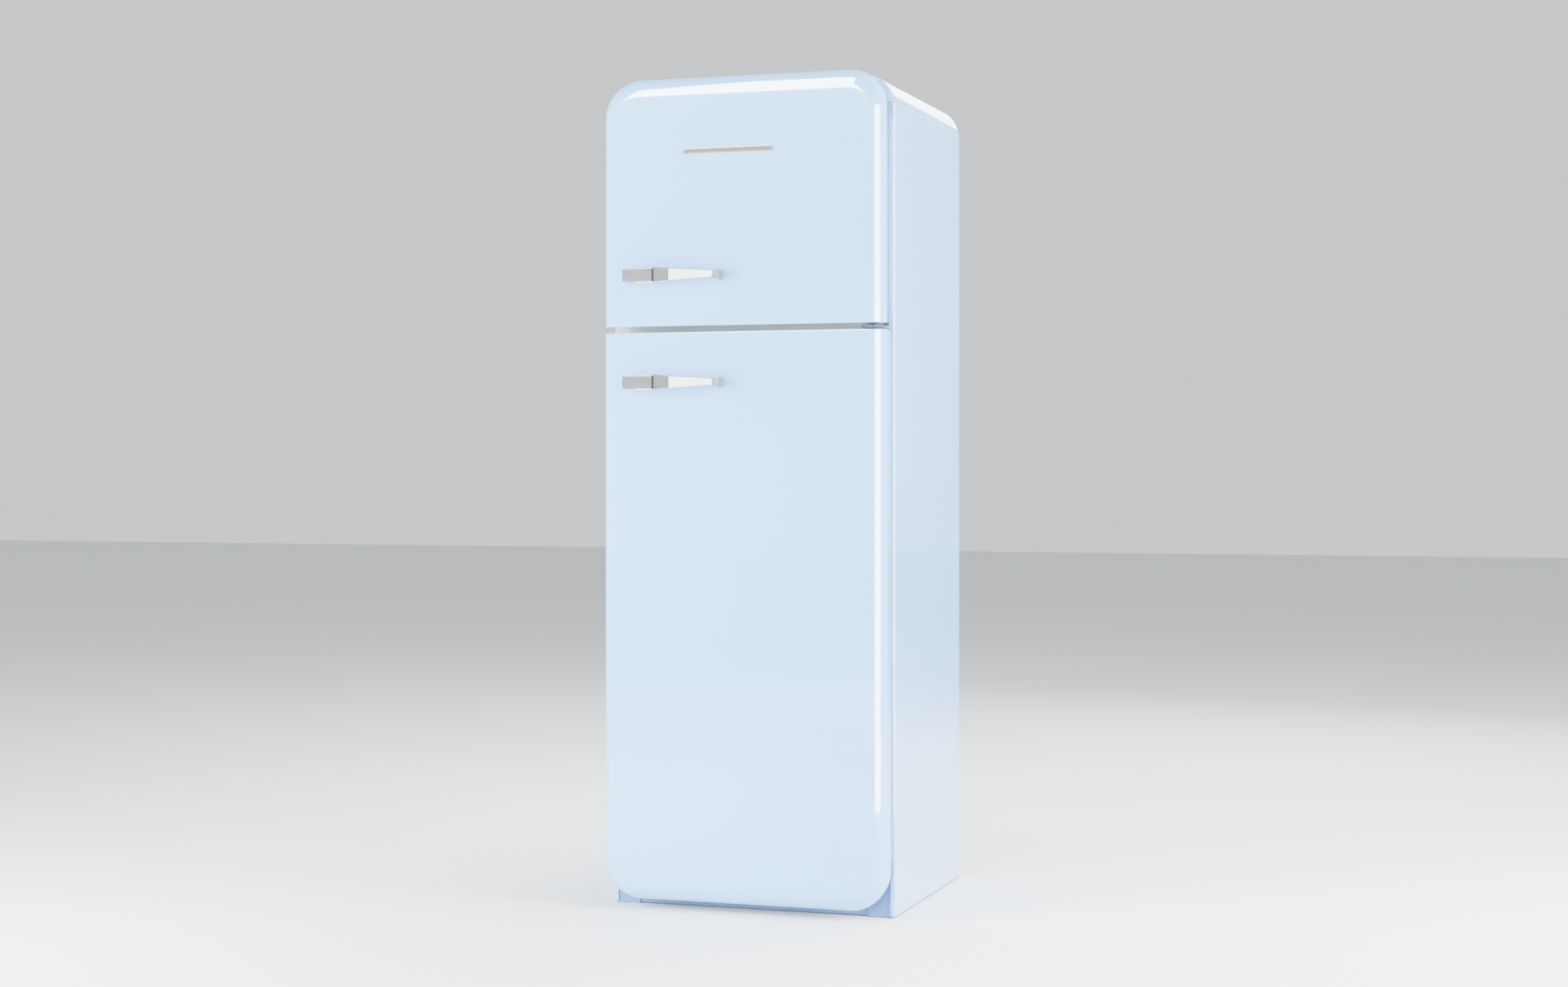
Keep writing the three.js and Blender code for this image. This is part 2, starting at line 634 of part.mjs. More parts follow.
// Chrome pull: a ribbed grip block at the free edge, an arm that narrows towards the hinge side and a
// tapered post that carries its far end.
function addHandle(group, prefix, z) {
  const handle = new THREE.Group();
  handle.position.set(HANDLE_EDGE - half, -DOOR_FRONT, z);
  const section = (x, height, front) => {
    const chamfer = height / 8;
    const h = height / 2;
    return [
      [-HANDLE_BACK, h - chamfer],
      [-HANDLE_BACK - chamfer, h],
      [chamfer - front, h],
      [-front, h - chamfer],
      [-front, chamfer - h],
      [chamfer - front, -h],
      [-HANDLE_BACK - chamfer, -h],
      [-HANDLE_BACK, chamfer - h],
    ].map(([y, v]) => new THREE.Vector3(x, y, v));
  };
  const recess = HANDLE_REACH - 6;
  const arm = loft([
    section(GRIP_BLOCK, ARM_HEIGHTS.lips, recess),
    section(GRIP_LENGTH, ARM_HEIGHTS.lips - 2, recess),
    section(FACET_END, ARM_HEIGHTS.facet, HANDLE_REACH),
    section(ARM_END, ARM_HEIGHTS.end, HANDLE_REACH - 1),
  ]);
  const seat = GRIP_HEIGHT / 2 + GAP;
  const pocketY = -HANDLE_BACK - 5;
  const pocket = box(GRIP_BLOCK - 1, GRIP_LENGTH + GAP, -2 * HANDLE_REACH, pocketY, -seat, seat);
  piece(handle, prefix + "_handle_arm", arm.subtract(pocket), chrome);

  const face = 2 - HANDLE_REACH;
  const pitch = GRIP_HEIGHT / RIBS;
  const ribbed = (backY) => {
    const points = [];
    for (let i = 0; i < RIBS; i++) {
      const low = -GRIP_HEIGHT / 2 + i * pitch;
      points.push([face + RIB_DEPTH, low], [face, low + pitch * 0.3]);
      points.push([face, low + pitch * 0.7]);
    }
    points.push([face + RIB_DEPTH, GRIP_HEIGHT / 2], [backY, GRIP_HEIGHT / 2]);
    points.push([backY, -GRIP_HEIGHT / 2]);
    return polygon(points.reverse());
  };
  const grip = prism(ribbed(-GAP), "x", 0, GRIP_BLOCK - GAP).add(
    prism(ribbed(pocketY - GAP), "x", 1, GRIP_LENGTH),
  );
  piece(handle, prefix + "_handle_grip", grip, chrome);

  const postRing = (y, height, length) => {
    const [x0, x1] = [ARM_END + GAP, ARM_END + length];
    const h = height / 2;
    return [[x0, -h], [x1, 2 - h], [x1, h - 2], [x0, h]].map(([x, v]) => new THREE.Vector3(x, y, v));
  };
  const post = loft([
    postRing(-GAP, POST_HEIGHT, POST_LENGTH),
    postRing(GAP - HANDLE_REACH + 2, ARM_HEIGHTS.end + 1, POST_LENGTH - 1),
    postRing(-HANDLE_REACH, ARM_HEIGHTS.end - 2, POST_LENGTH - 4),
  ]);
  piece(handle, prefix + "_handle_post", post, chrome);
  group.add(handle);
}

const doors = {
  freezer: {
    bottom: gapMiddle + DOOR_GAP / 2,
    top: ROOF + DOOR_RISE,
    roundedTop: true,
    skinDepth: FREEZER_SKIN_DEPTH,
    opening: freezerHalf,
    seal: [freezerFloor - GASKET_WIDTH, topHinge - POCKET_CLEARANCE - 2],
    dykes: [freezerFloor + LINER_CORNER, freezerTop - LINER_CORNER],
    pocket: topHinge,
    pinHole: [topHinge - PIN_GRIP - 2, topHinge],
    gapHole: [gapMiddle, gapMiddle + PIN_GRIP + 2],
  },
  fridge: {
    bottom: DOOR_BOTTOM,
    top: gapMiddle - DOOR_GAP / 2,
    roundedTop: false,
    skinDepth: FRIDGE_SKIN_DEPTH,
    opening: fridgeHalf,
    seal: [BOTTOM_HINGE + BARREL_HEIGHT + POCKET_CLEARANCE + 2, fridgeTop + GASKET_WIDTH],
    dykes: [FRIDGE_FLOOR + LINER_CORNER, fridgeTop - LINER_CORNER],
    pocket: BOTTOM_HINGE,
    pinHole: [BOTTOM_HINGE + BARREL_HEIGHT, BOTTOM_HINGE + BARREL_HEIGHT + PIN_GRIP + 2],
    gapHole: [gapMiddle - PIN_GRIP - 2, gapMiddle],
  },
};

function addDoor(group, name) {
  const door = doors[name];
  const room = hingeRoom(door);
  const skinBack = door.skinDepth - DOOR_FRONT;
  const pins = rod("z", holeRadius + 2, ...door.gapHole, axis.x, axis.y);
  const skin = doorBlank(door, 0, skinBack).subtract(doorBlank(door, SHEET, 1)).subtract(pins);
  piece(group, name + "_door_skin", skin, enamel);
  piece(group, name + "_door_foam", doorFoam(door, room), foam);
  piece(group, name + "_door_liner", doorLiner(door, room), whitePlastic);
  piece(group, name + "_door_gasket", gasket(door), rubber);
  const way = door.roundedTop ? 1 : -1;
  addHandle(group, name, gapMiddle + way * HANDLE_FROM_GAP);
}

// An open bin between a door's upright ribs.
function doorBin(door, z0, height) {
  const side = door.opening - DYKE_CLEARANCE - DYKE - GAP;
  return tray(-side, side, GAP - GASKET, BIN_REACH, z0, z0 + height, BIN_WALL);
}

function addFreezerDoor(group) {
  addDoor(group, "freezer");
  const z = freezerShelfZ - BIN_HEIGHT / 2;
  piece(group, "freezer_door_bin", doorBin(doors.freezer, z, BIN_HEIGHT), clearPlastic);
  const badgeZ = ROOF - BADGE.drop;
  const [w, h] = [BADGE.length / 2, BADGE.height / 2];
  const outline = rounded(BADGE.x - w, BADGE.x + w, badgeZ - h, badgeZ + h, h - 0.5);
  const plate = prism(outline, "y", -DOOR_FRONT - GAP - BADGE.thickness, -DOOR_FRONT - GAP);
  piece(group, "badge", plate, chrome);
}

function addFridgeDoor(group) {
  addDoor(group, "fridge");
  const door = doors.fridge;
  const side = door.opening - DYKE_CLEARANCE - DYKE - GAP;
  const bottleZ = FRIDGE_FLOOR + BOTTLE_BIN_RISE;
  const dairyTop = fridgeTop - DAIRY_DROP;
  const dairyZ = dairyTop - DAIRY_HEIGHT;
  const middleZ = middle(bottleZ + BOTTLE_BIN_HEIGHT, dairyZ) - BIN_HEIGHT / 2;
  piece(group, "bottle_bin", doorBin(door, bottleZ, BOTTLE_BIN_HEIGHT), clearPlastic);
  piece(group, "door_bin", doorBin(door, middleZ, BIN_HEIGHT), clearPlastic);

  // The dairy bin's end walls rise into two ears that hold its flap's pivots.
  const pivotZ = dairyTop + FLAP_PIVOT.rise;
  let bin = doorBin(door, dairyZ, DAIRY_HEIGHT);
  for (const way of [-1, 1]) {
    const [x0, x1] = [way * (side - BIN_WALL), way * side].sort((a, b) => a - b);
    bin = bin.add(box(x0, x1, GAP - GASKET, 0, dairyTop - 1, pivotZ + 6));
  }
  const hole = rod("x", 2 + PIN_CLEARANCE, -half, half, FLAP_PIVOT.y, pivotZ, 16);
  piece(group, "dairy_bin", bin.subtract(hole), clearPlastic);
  const reach = side - BIN_WALL - 1;
  const lid = polygon([
    [FLAP_PIVOT.y, pivotZ - 1.5],
    [BIN_REACH - BIN_WALL, pivotZ - 1.5],
    [BIN_REACH - BIN_WALL, dairyTop + 2],
    [BIN_REACH, dairyTop + 2],
    [BIN_REACH, pivotZ + 1],
    [FLAP_PIVOT.y, pivotZ + 1],
  ]);
  const flap = prism(lid, "x", -reach, reach)
    .add(rod("x", FLAP_PIVOT.radius, -reach, reach, FLAP_PIVOT.y, pivotZ, 12))
    .add(rod("x", 2, GAP - side, side - GAP, FLAP_PIVOT.y, pivotZ, 12));
  piece(group, "dairy_flap", flap, whitePlastic);
}

// Fittings inside the compartments -------------------------------------------------------------------

// A shelf with a deeper front edge, between the side walls.
function shelf(halfWidth, z, y1) {
  const w = halfWidth - 2;
  const edge = box(LEDGE.reach + 1 - halfWidth, halfWidth - LEDGE.reach - 1, 1, 6, z - 8, z + 1);
  const front = edge.translate([0, SHELF_FRONT - 1, 0]);
  return box(-w, w, SHELF_FRONT, y1, z, z + SHELF).add(front);
}

function addFridgeFittings(group) {
  FRIDGE_SHELVES.forEach((name, i) => {
    piece(group, name, shelf(fridgeHalf, shelfHeights[i], rear - 2), glass);
  });
  piece(group, "crisper_cover", shelf(fridgeHalf, coverZ, stepY - 2), glass);
  const side = fridgeHalf - CRISPER_SIDE;
  const low = FRIDGE_FLOOR + COVER_RISE;
  const drawer = tray(-side, side, SHELF_FRONT + 2, stepY - 10, low, CRISPER_TOP - 4, BIN_WALL);
  const pull = box(-side / 2, side / 2, SHELF_FRONT - 8, SHELF_FRONT + 3, CRISPER_TOP - 18, CRISPER_TOP - 14);
  piece(group, "crisper_drawer", drawer.add(pull), clearPlastic);

  const w = HOUSING.width / 2;
  const ceiling = fridgeTop - GAP;
  const housingZ = ceiling - HOUSING.height;
  const housingY = SHELF_FRONT + HOUSING.depth;
  const spindle = middle(housingZ, ceiling);
  const housing = box(-w, w, SHELF_FRONT, housingY, housingZ, ceiling);
  piece(group, "control_housing", housing, whitePlastic);
  const knobBack = SHELF_FRONT - GAP;
  const skirt = rod("y", KNOB_RADIUS, knobBack - KNOB_LENGTH / 2, knobBack, 0, spindle);
  const bar = box(-3, 3, knobBack - KNOB_LENGTH, knobBack - 1, spindle - 12, spindle + 12);
  piece(group, "thermostat_knob", skirt.add(bar), greyPlastic);
  const lens = rounded(-w / 2, w / 2, SHELF_FRONT + 25, housingY - 25, 12);
  piece(group, "lamp_cover", prism(lens, "z", housingZ - GAP - 10, housingZ - GAP), clearPlastic);
}

// Freezer: evaporator behind a cover with a fan, a shelf and an ice bin.
function addFreezerFittings(group) {
  const fanZ = freezerTop - FAN_DROP;
  const fanY = coverFront + 8;
  const w = freezerHalf - GAP;
  const outline = rounded(-w, w, freezerFloor + GAP, freezerTop - GAP, LINER_CORNER);
  const bore = FAN_RADIUS + 4;
  let cover = prism(outline, "y", coverFront, coverFront + 3);
  cover = cover.subtract(rod("y", bore, coverFront - 1, coverFront + 4, 0, fanZ, 32));
  for (let i = -2; i <= 2; i++) {
    const x = i * 17;
    cover = cover.add(box(x - 2, x + 2, coverFront, coverFront + 3, fanZ - bore, fanZ + bore));
  }
  for (let i = -4; i <= 4; i++) {
    const x = i * 45;
    const y = [coverFront - 1, coverFront + 4];
    cover = cover.subtract(box(x - 17, x + 17, ...y, freezerFloor + 22, freezerFloor + 30));
  }
  const motorY = fanY + 18;
  for (const way of [-1, 1]) {
    const [x0, x1] = [way * (bore + 2), way * (bore + 6)].sort((a, b) => a - b);
    cover = cover.add(box(x0, x1, coverFront + 1, motorY + 8, fanZ - 4, fanZ + 4));
  }
  cover = cover
    .add(box(-bore - 6, bore + 6, motorY + 4, motorY + 8, fanZ - 4, fanZ + 4))
    .add(rod("y", 15, motorY, motorY + 8, 0, fanZ, 16));
  piece(group, "evaporator_cover", cover, whitePlastic);

  let fan = rod("y", 11, fanY, fanY + 16, 0, fanZ, 16);
  for (let i = 0; i < 4; i++) {
    const blade = new THREE.BoxGeometry(FAN_RADIUS - 6, 1.6, 22)
      .translate((FAN_RADIUS - 6) / 2 + 6, 0, 0)
      .rotateX(0.5)
      .rotateY((i * Math.PI) / 2)
      .translate(0, fanY + 8, fanZ);
    fan = fan.add(solid(blade));
  }
  piece(group, "freezer_fan", fan, greyPlastic);

  const coilTop = fanZ - bore - 20;
  const coilY = coverFront + 8;
  const span = freezerHalf - 22;
  const comb = [[-span, coilTop], [-span, coilTop - 10]];
  const pitch = (2 * span) / FINS;
  for (let i = 0; i < FINS; i++) {
    const x = -span + pitch * (i + 0.5);
    comb.push([x - 1, coilTop - 10], [x - 1, freezerFloor + 15]);
    comb.push([x + 1, freezerFloor + 15], [x + 1, coilTop - 10]);
  }
  comb.push([span, coilTop - 10], [span, coilTop]);
  piece(group, "evaporator", prism(polygon(comb), "y", coilY, rear - 6), aluminium);

  piece(group, "freezer_shelf", shelf(freezerHalf, freezerShelfZ, coverFront - 2), glass);
  const x0 = ICE_BIN.inset - freezerHalf;
  const y0 = SHELF_FRONT + 20;
  const z0 = freezerShelfZ + SHELF + GAP;
  const x1 = x0 + ICE_BIN.width;
  const ice = tray(x0, x1, y0, y0 + ICE_BIN.depth, z0, z0 + ICE_BIN.height, BIN_WALL);
  piece(group, "ice_bin", ice, clearPlastic);
}

// Cooling machine at the back ------------------------------------------------------------------------

function addCoolingMachine(group) {
  const floor = TRAY + LINER + GAP;
  const { x, radius, height } = COMPRESSOR;
  const y = middle(niche, DEPTH);
  const canBottom = floor + 10;
  const profile = [[0, 0], [radius * 0.55, 0], [radius * 0.9, 14], [radius, 40]]
    .concat([[radius, height - 50], [radius * 0.85, height - 18], [radius * 0.5, height]])
    .concat([[0, height]])
    .map(([r, z]) => new THREE.Vector2(r, z));
  const can = new THREE.LatheGeometry(profile, 28).rotateX(Math.PI / 2).translate(x, y, canBottom);
  const reachX = radius + 32;
  const reachY = radius * 0.8;
  let compressor = solid(can).add(
    box(x - reachX, x + reachX, y - reachY, y + reachY, floor + 6, floor + 9),
  );
  compressor = compressor
    .add(box(x + radius - 12, x + radius + 22, y - 24, y + 24, canBottom + 40, canBottom + 100))
    .add(box(x - 20, x + 20, y - 20, y + 20, floor + 7, canBottom + 5));
  for (const sx of [-1, 1]) {
    for (const sy of [-1, 1]) {
      const [gx, gy] = [x + sx * (reachX - 14), y + sy * (reachY - 14)];
      compressor = compressor.add(rod("z", 10, floor, floor + 7, gx, gy, 12));
    }
  }
  piece(group, "compressor", compressor, blackSteel);
  const trayZ = canBottom + height + GAP;
  const pan = tray(x - 80, x + 80, y - 65, y + 65, trayZ, trayZ + 26, BIN_WALL);
  piece(group, "drip_tray", pan, blackSteel);
  const gland = rod("z", 9, NICHE_TOP - 14, NICHE_TOP - GAP, half - 70, DEPTH - 40, 16).subtract(
    rod("z", 4, NICHE_TOP - 15, NICHE_TOP, half - 70, DEPTH - 40, 12),
  );
  piece(group, "cord_gland", gland, darkRubber);

  // Wire-on-tube condenser: level passes linked at alternate ends, upright wires and four stand-offs.
  const m = CONDENSER_MARGIN;
  const side = half - m.side;
  const bottom = NICHE_TOP + m.bottom;
  const top = ROOF - m.top;
  const tubeY = DEPTH + CONDENSER_REACH - 8;
  const pitch = (top - bottom) / (CONDENSER_PASSES - 1);
  let coil = rod("x", 3, -side, side, tubeY, bottom, 6);
  for (let i = 1; i < CONDENSER_PASSES; i++) {
    const z = bottom + i * pitch;
    const end = i % 2 ? side - 3 : 3 - side;
    coil = coil.add(rod("x", 3, -side, side, tubeY, z, 6));
    coil = coil.add(rod("z", 2.9, z - pitch, z, end, tubeY, 6));
  }
  const wirePitch = (2 * side - 60) / (CONDENSER_WIRES - 1);
  for (let i = 0; i < CONDENSER_WIRES; i++) {
    const wx = 30 - side + i * wirePitch;
    const strip = box(wx - 2, wx + 2, tubeY, DEPTH + CONDENSER_REACH, bottom - 10, top + 10);
    coil = coil.add(strip);
    if (i === 0 || i === CONDENSER_WIRES - 1) {
      for (const z of [bottom + pitch / 2, top - pitch / 2]) {
        coil = coil.add(box(wx - 6, wx + 6, DEPTH + GAP, tubeY + 1, z - 8, z + 8));
      }
    }
  }
  piece(group, "condenser", coil, blackSteel);
}

// Whole object ---------------------------------------------------------------------------------------

const refrigerator = new THREE.Group();
refrigerator.name = "top_freezer_refrigerator";
const fromFrontFace = new THREE.Group();
fromFrontFace.position.y = middle(DOOR_FRONT + HANDLE_REACH, -DEPTH - CONDENSER_REACH);
addCabinet(fromFrontFace);
addFeet(fromFrontFace);
addHinges(fromFrontFace);
addFreezerDoor(fromFrontFace);
addFridgeDoor(fromFrontFace);
addFridgeFittings(fromFrontFace);
addFreezerFittings(fromFrontFace);
addCoolingMachine(fromFrontFace);
refrigerator.add(fromFrontFace);

export default refrigerator;
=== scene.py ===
from math import cos, pi, radians, sin, tau

import bmesh
import bpy
from mathutils import Matrix, Vector


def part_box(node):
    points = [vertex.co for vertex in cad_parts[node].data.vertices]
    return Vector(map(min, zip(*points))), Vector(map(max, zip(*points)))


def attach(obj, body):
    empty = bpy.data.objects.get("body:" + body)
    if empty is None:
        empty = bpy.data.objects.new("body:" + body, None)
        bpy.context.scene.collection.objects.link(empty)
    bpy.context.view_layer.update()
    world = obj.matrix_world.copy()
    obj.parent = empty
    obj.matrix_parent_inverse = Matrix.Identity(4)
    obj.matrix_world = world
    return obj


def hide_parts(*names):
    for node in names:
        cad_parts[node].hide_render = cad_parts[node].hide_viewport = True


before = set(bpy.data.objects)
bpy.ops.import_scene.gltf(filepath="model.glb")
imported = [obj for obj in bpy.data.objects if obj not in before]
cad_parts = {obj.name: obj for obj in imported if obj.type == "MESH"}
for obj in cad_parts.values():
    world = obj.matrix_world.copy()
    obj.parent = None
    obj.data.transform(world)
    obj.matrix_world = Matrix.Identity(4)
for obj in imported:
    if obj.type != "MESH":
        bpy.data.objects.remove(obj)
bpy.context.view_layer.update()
mm = 0.001

# Camera ---------------------------------------------------------------------------------------------
# It stands five metres back at a standing child's eye height, level, a little to the right of the
# doors, and its film is shifted down so that the whole cabinet fills the height.
lens = bpy.data.cameras.new("camera")
lens.sensor_width = 36
lens.lens = 56.55
lens.shift_y = -0.0186
camera = bpy.data.objects.new("camera", lens)
camera.location = (1.631, -4.947, 0.905)
camera.rotation_euler = (radians(90), 0, radians(18.3))
bpy.context.scene.collection.objects.link(camera)
bpy.context.scene.camera = camera

# Floor and light ------------------------------------------------------------------------------------
# A plain pale floor under an even sky that darkens overhead. Softboxes on all sides light everything and
# never show; cards light nothing and show only as soft reflections in the enamel or in the chrome.


def tint(code):
    """A colour from its six hexadecimal digits, as the linear values that shaders take."""
    parts = [int(code[i : i + 2], 16) / 255 for i in (0, 2, 4)]
    return (*[c / 12.92 if c <= 0.04045 else ((c + 0.055) / 1.055) ** 2.4 for c in parts], 1)


def add(tree, kind, settings=None, **inputs):
    """Adds a shader node; each input takes a value, or the output that feeds it."""
    node = tree.nodes.new("ShaderNode" + kind)
    for name, value in (settings or {}).items():
        setattr(node, name, value)
    for name, value in inputs.items():
        key = int(name[1:]) if name[1:].isdigit() else name.replace("_", " ")
        if isinstance(value, bpy.types.NodeSocket):
            tree.links.new(value, node.inputs[key])
        else:
            node.inputs[key].default_value = value
    return node


def blank_material(name):
    """A material with nothing but its output."""
    material = bpy.data.materials.new(name)
    material.use_nodes = True
    material.node_tree.nodes.clear()
    return material, material.node_tree


SKY = "EDF1F5"
SKY_TOP = "83878C"
SKY_STRENGTH = 1.25
world = bpy.data.worlds.new("studio")
world.use_nodes = True
sky = world.node_tree
direction = add(sky, "TexCoord").outputs["Generated"]
lift = add(sky, "MapRange", _0=add(sky, "SeparateXYZ", _0=direction).outputs["Z"], _1=0.72, _2=0.97)
fade = add(sky, "Mix", {"data_type": "RGBA"}, _0=lift.outputs[0], _6=tint(SKY), _7=tint(SKY_TOP))
sky.links.new(fade.outputs[2], sky.nodes["Background"].inputs["Color"])
sky.nodes["Background"].inputs["Strength"].default_value = SKY_STRENGTH
bpy.context.scene.world = world

# The pieces that reflect the cards, by their finish.
shown_in = {finish: bpy.data.collections.new(finish + "_pieces") for finish in ("enamel", "chrome")}


def softbox(name, place, target, width, height, power, shows_in=None):
    """A rectangular area light that faces its target: a card shows only as a reflection in the glossy
    pieces it is for, and a softbox lights everything without showing."""
    light = bpy.data.lights.new(name, "AREA")
    light.shape = "RECTANGLE"
    light.size = width
    light.size_y = height
    light.energy = power
    holder = bpy.data.objects.new(name, light)
    holder.location = place
    holder.rotation_euler = (Vector(target) - Vector(place)).to_track_quat("-Z", "Y").to_euler()
    holder.visible_camera = False
    holder.visible_glossy = shows_in is not None
    holder.visible_diffuse = shows_in is None
    bpy.context.scene.collection.objects.link(holder)
    if shows_in:
        holder.light_linking.receiver_collection = shown_in[shows_in]


softbox("card_above", (-0.68, -2.25, 3.15), (0, -0.3, 1.6), 1.0, 2.5, 500, "enamel")
softbox("card_hinge_side", (1.32, -1.28, 0.94), (0.28, -0.27, 0.94), 1.2, 1.85, 354, "enamel")
softbox("card_behind", (0.1, 4.0, 2.9), (0.25, 0.1, 1.66), 1.5, 1.0, 40, "enamel")
softbox("card_chrome", (-1.15, -3.2, 1.35), (-0.2, -0.3, 1.2), 1.0, 1.0, 20, "chrome")
softbox("card_chrome_above", (-0.75, -2.25, 3.15), (0, -0.3, 1.6), 1.5, 2.0, 60, "chrome")
softbox("softbox_front", (0.3, -5.6, 1.3), (0, -0.3, 0.95), 3.0, 2.0, 530)
softbox("softbox_handle_side", (-2.0, -2.0, 1.2), (-0.3, 0, 0.9), 1.2, 2.2, 330)
softbox("softbox_hinge_side", (3.4, -0.6, 1.6), (0.3, 0.1, 0.8), 2.0, 2.4, 640)
softbox("softbox_behind", (1.0, 3.6, 2.4), (0, 0, 1.0), 2.4, 2.4, 120)
softbox("softbox_roof", (0.6, 0.8, 4.2), (0.1, 0.1, 1.7), 2.6, 2.6, 350)

FLOOR_SIZE = 40
FLOOR = "E2E4E5"
FLOOR_LIGHT = "E8EAEB"
bm = bmesh.new()
bmesh.ops.create_grid(bm, x_segments=8, y_segments=8, size=FLOOR_SIZE / 2)
floor_mesh = bpy.data.meshes.new("floor")
bm.to_mesh(floor_mesh)
bm.free()
floor = bpy.data.objects.new("floor", floor_mesh)
bpy.context.scene.collection.objects.link(floor)
floor_paint, tree = blank_material("floor_paint")
cloud = add(tree, "TexNoise", Scale=0.6, Detail=3.0)
mask = cloud.outputs["Fac"]
shade = add(tree, "Mix", {"data_type": "RGBA"}, _0=mask, _6=tint(FLOOR), _7=tint(FLOOR_LIGHT))
paint = add(tree, "BsdfPrincipled", Base_Color=shade.outputs[2], Roughness=0.7)
add(tree, "OutputMaterial", Surface=paint.outputs[0])
floor_mesh.materials.append(floor_paint)

# Door fronts ----------------------------------------------------------------------------------------
# Each front is one deep-drawn sheet of steel in glossy stove enamel: a big radius at the outer corners,
# edges that roll over to a flat face, and a tight fold where the two doors meet.
DOOR_CORNER = 79 * mm
SIDE_ROLL = 30 * mm
END_ROLL = 38 * mm
RISE = 6 * mm  # the upper door's outline above the roof
SHEET = 1.2 * mm
FOLD = 2.2 * mm
GASKET_DEPTH = 15 * mm


def node_group(name, inputs, outputs):
    """An empty shader node group with named sockets, each input a number."""
    group = bpy.data.node_groups.new(name, "ShaderNodeTree")
    for label, value in inputs.items():
        socket = group.interface.new_socket(label, in_out="INPUT", socket_type="NodeSocketFloat")
        socket.default_value = value
    for label in outputs:
        group.interface.new_socket(label, in_out="OUTPUT", socket_type="NodeSocketFloat")
    return group, group.nodes.new("NodeGroupInput").outputs


def give(group, **outputs):
    """Connects what a node group puts out."""
    end = group.nodes.new("NodeGroupOutput")
    for label, socket in outputs.items():
        group.links.new(socket, end.inputs[label])


def scaled_noise(group, scale, detail=2.0, stretch=(1, 1, 1)):
    """Noise over the piece's own coordinates, stretched along an axis if asked."""
    where = add(group, "TexCoord").outputs["Object"]
    spread = add(group, "Mapping", Vector=where, Scale=stretch)
    return add(group, "TexNoise", Vector=spread.outputs[0], Scale=scale, Detail=detail).outputs["Fac"]


def between(tree, mask, low, high, start=0.0, end=1.0):
    """Low where the mask is at start, high where it is at end."""
    lerp = add(tree, "MapRange", _0=mask, _1=start, _2=end, _3=low, _4=high)
    return lerp.outputs[0]


def multiply(group, first, second, clamp=False):
    """Two values multiplied, held between 0 and 1 if asked."""
    settings = {"operation": "MULTIPLY", "use_clamp": clamp}
    return add(group, "Math", settings, _0=first, _1=second).outputs[0]


# The soft ripple of sprayed enamel, with its finer grain on top.
orange_peel, feed = node_group("orange_peel", {"Scale": 160.0, "Fine": 0.3}, ["Height"])
ripple = scaled_noise(orange_peel, feed["Scale"])
grain = scaled_noise(orange_peel, 1400.0, 1.0)
fine = multiply(orange_peel, grain, feed["Fine"])
height = add(orange_peel, "Math", {"operation": "ADD"}, _0=ripple, _1=fine)
give(orange_peel, Height=height.outputs[0])

# Where hands and cloths have passed: broad soft patches broken up by narrow streaks.
handling, feed = node_group("handling", {"Scale": 5.0, "Streaks": 0.4}, ["Mask"])
patches = scaled_noise(handling, feed["Scale"], 3.0)
streaks = scaled_noise(handling, 26.0, 4.0, (1, 1, 0.12))
part = multiply(handling, streaks, feed["Streaks"])
total = add(handling, "Math", {"operation": "ADD"}, _0=patches, _1=part)
give(handling, Mask=between(handling, total.outputs[0], 0.0, 1.0, 0.45, 0.95))

# Lighter rims, a painted highlight on some finishes and real wear on others: the difference between the
# true normal and one rounded over the nearest edge.
rim_wear_and_highlight, feed = node_group("rim_wear_and_highlight", {"Radius": 0.0012, "Breakup": 0.5}, ["Mask"])
rounded = add(rim_wear_and_highlight, "Bevel", {"samples": 4}, Radius=feed["Radius"]).outputs[0]
flat = add(rim_wear_and_highlight, "NewGeometry").outputs["Normal"]
along = add(rim_wear_and_highlight, "VectorMath", {"operation": "DOT_PRODUCT"}, _0=rounded, _1=flat).outputs["Value"]
turned = between(rim_wear_and_highlight, along, 1.0, 0.0, 0.75, 0.985)
broken = between(rim_wear_and_highlight, scaled_noise(rim_wear_and_highlight, 90.0, 3.0), 0.0, 1.0, 0.35, 0.65)
kept = add(rim_wear_and_highlight, "Mix", {"data_type": "FLOAT"}, _0=feed["Breakup"], _2=1.0, _3=broken)
give(rim_wear_and_highlight, Mask=multiply(rim_wear_and_highlight, turned, kept.outputs[0], True))

# Dust that lies on what faces up.
dust, feed = node_group("settled_dust", {"Amount": 0.3}, ["Mask"])
facing = add(dust, "SeparateXYZ", _0=add(dust, "NewGeometry").outputs["Normal"]).outputs["Z"]
upward = between(dust, facing, 0.0, 1.0, 0.2, 1.0)
specks = between(dust, scaled_noise(dust, 55.0, 6.0), 0.2, 1.0, 0.3, 0.7)
give(dust, Mask=multiply(dust, multiply(dust, upward, specks), feed["Amount"], True))


def use(tree, group, **inputs):
    """Places a node group in a material and returns its only output."""
    node = tree.nodes.new("ShaderNodeGroup")
    node.node_tree = group
    for name, value in inputs.items():
        node.inputs[name].default_value = value
    return node.outputs[0]


def blend(tree, mask, first, second):
    """First where the mask is 0, second where it is 1; both are colours or outputs."""
    return add(tree, "Mix", {"data_type": "RGBA"}, _0=mask, _6=first, _7=second).outputs[2]


def close(tree, colour, roughness, height=None, depth=0.1 * mm, **constants):
    """Ends a material in its shader; the constants are set on the shader's own sockets."""
    shader = add(tree, "BsdfPrincipled", Base_Color=colour, Roughness=roughness, **constants)
    if height is not None:
        bump = add(tree, "Bump", Height=height, Distance=depth, Strength=1.0)
        tree.links.new(bump.outputs[0], shader.inputs["Normal"])
    add(tree, "OutputMaterial", Surface=shader.outputs[0])


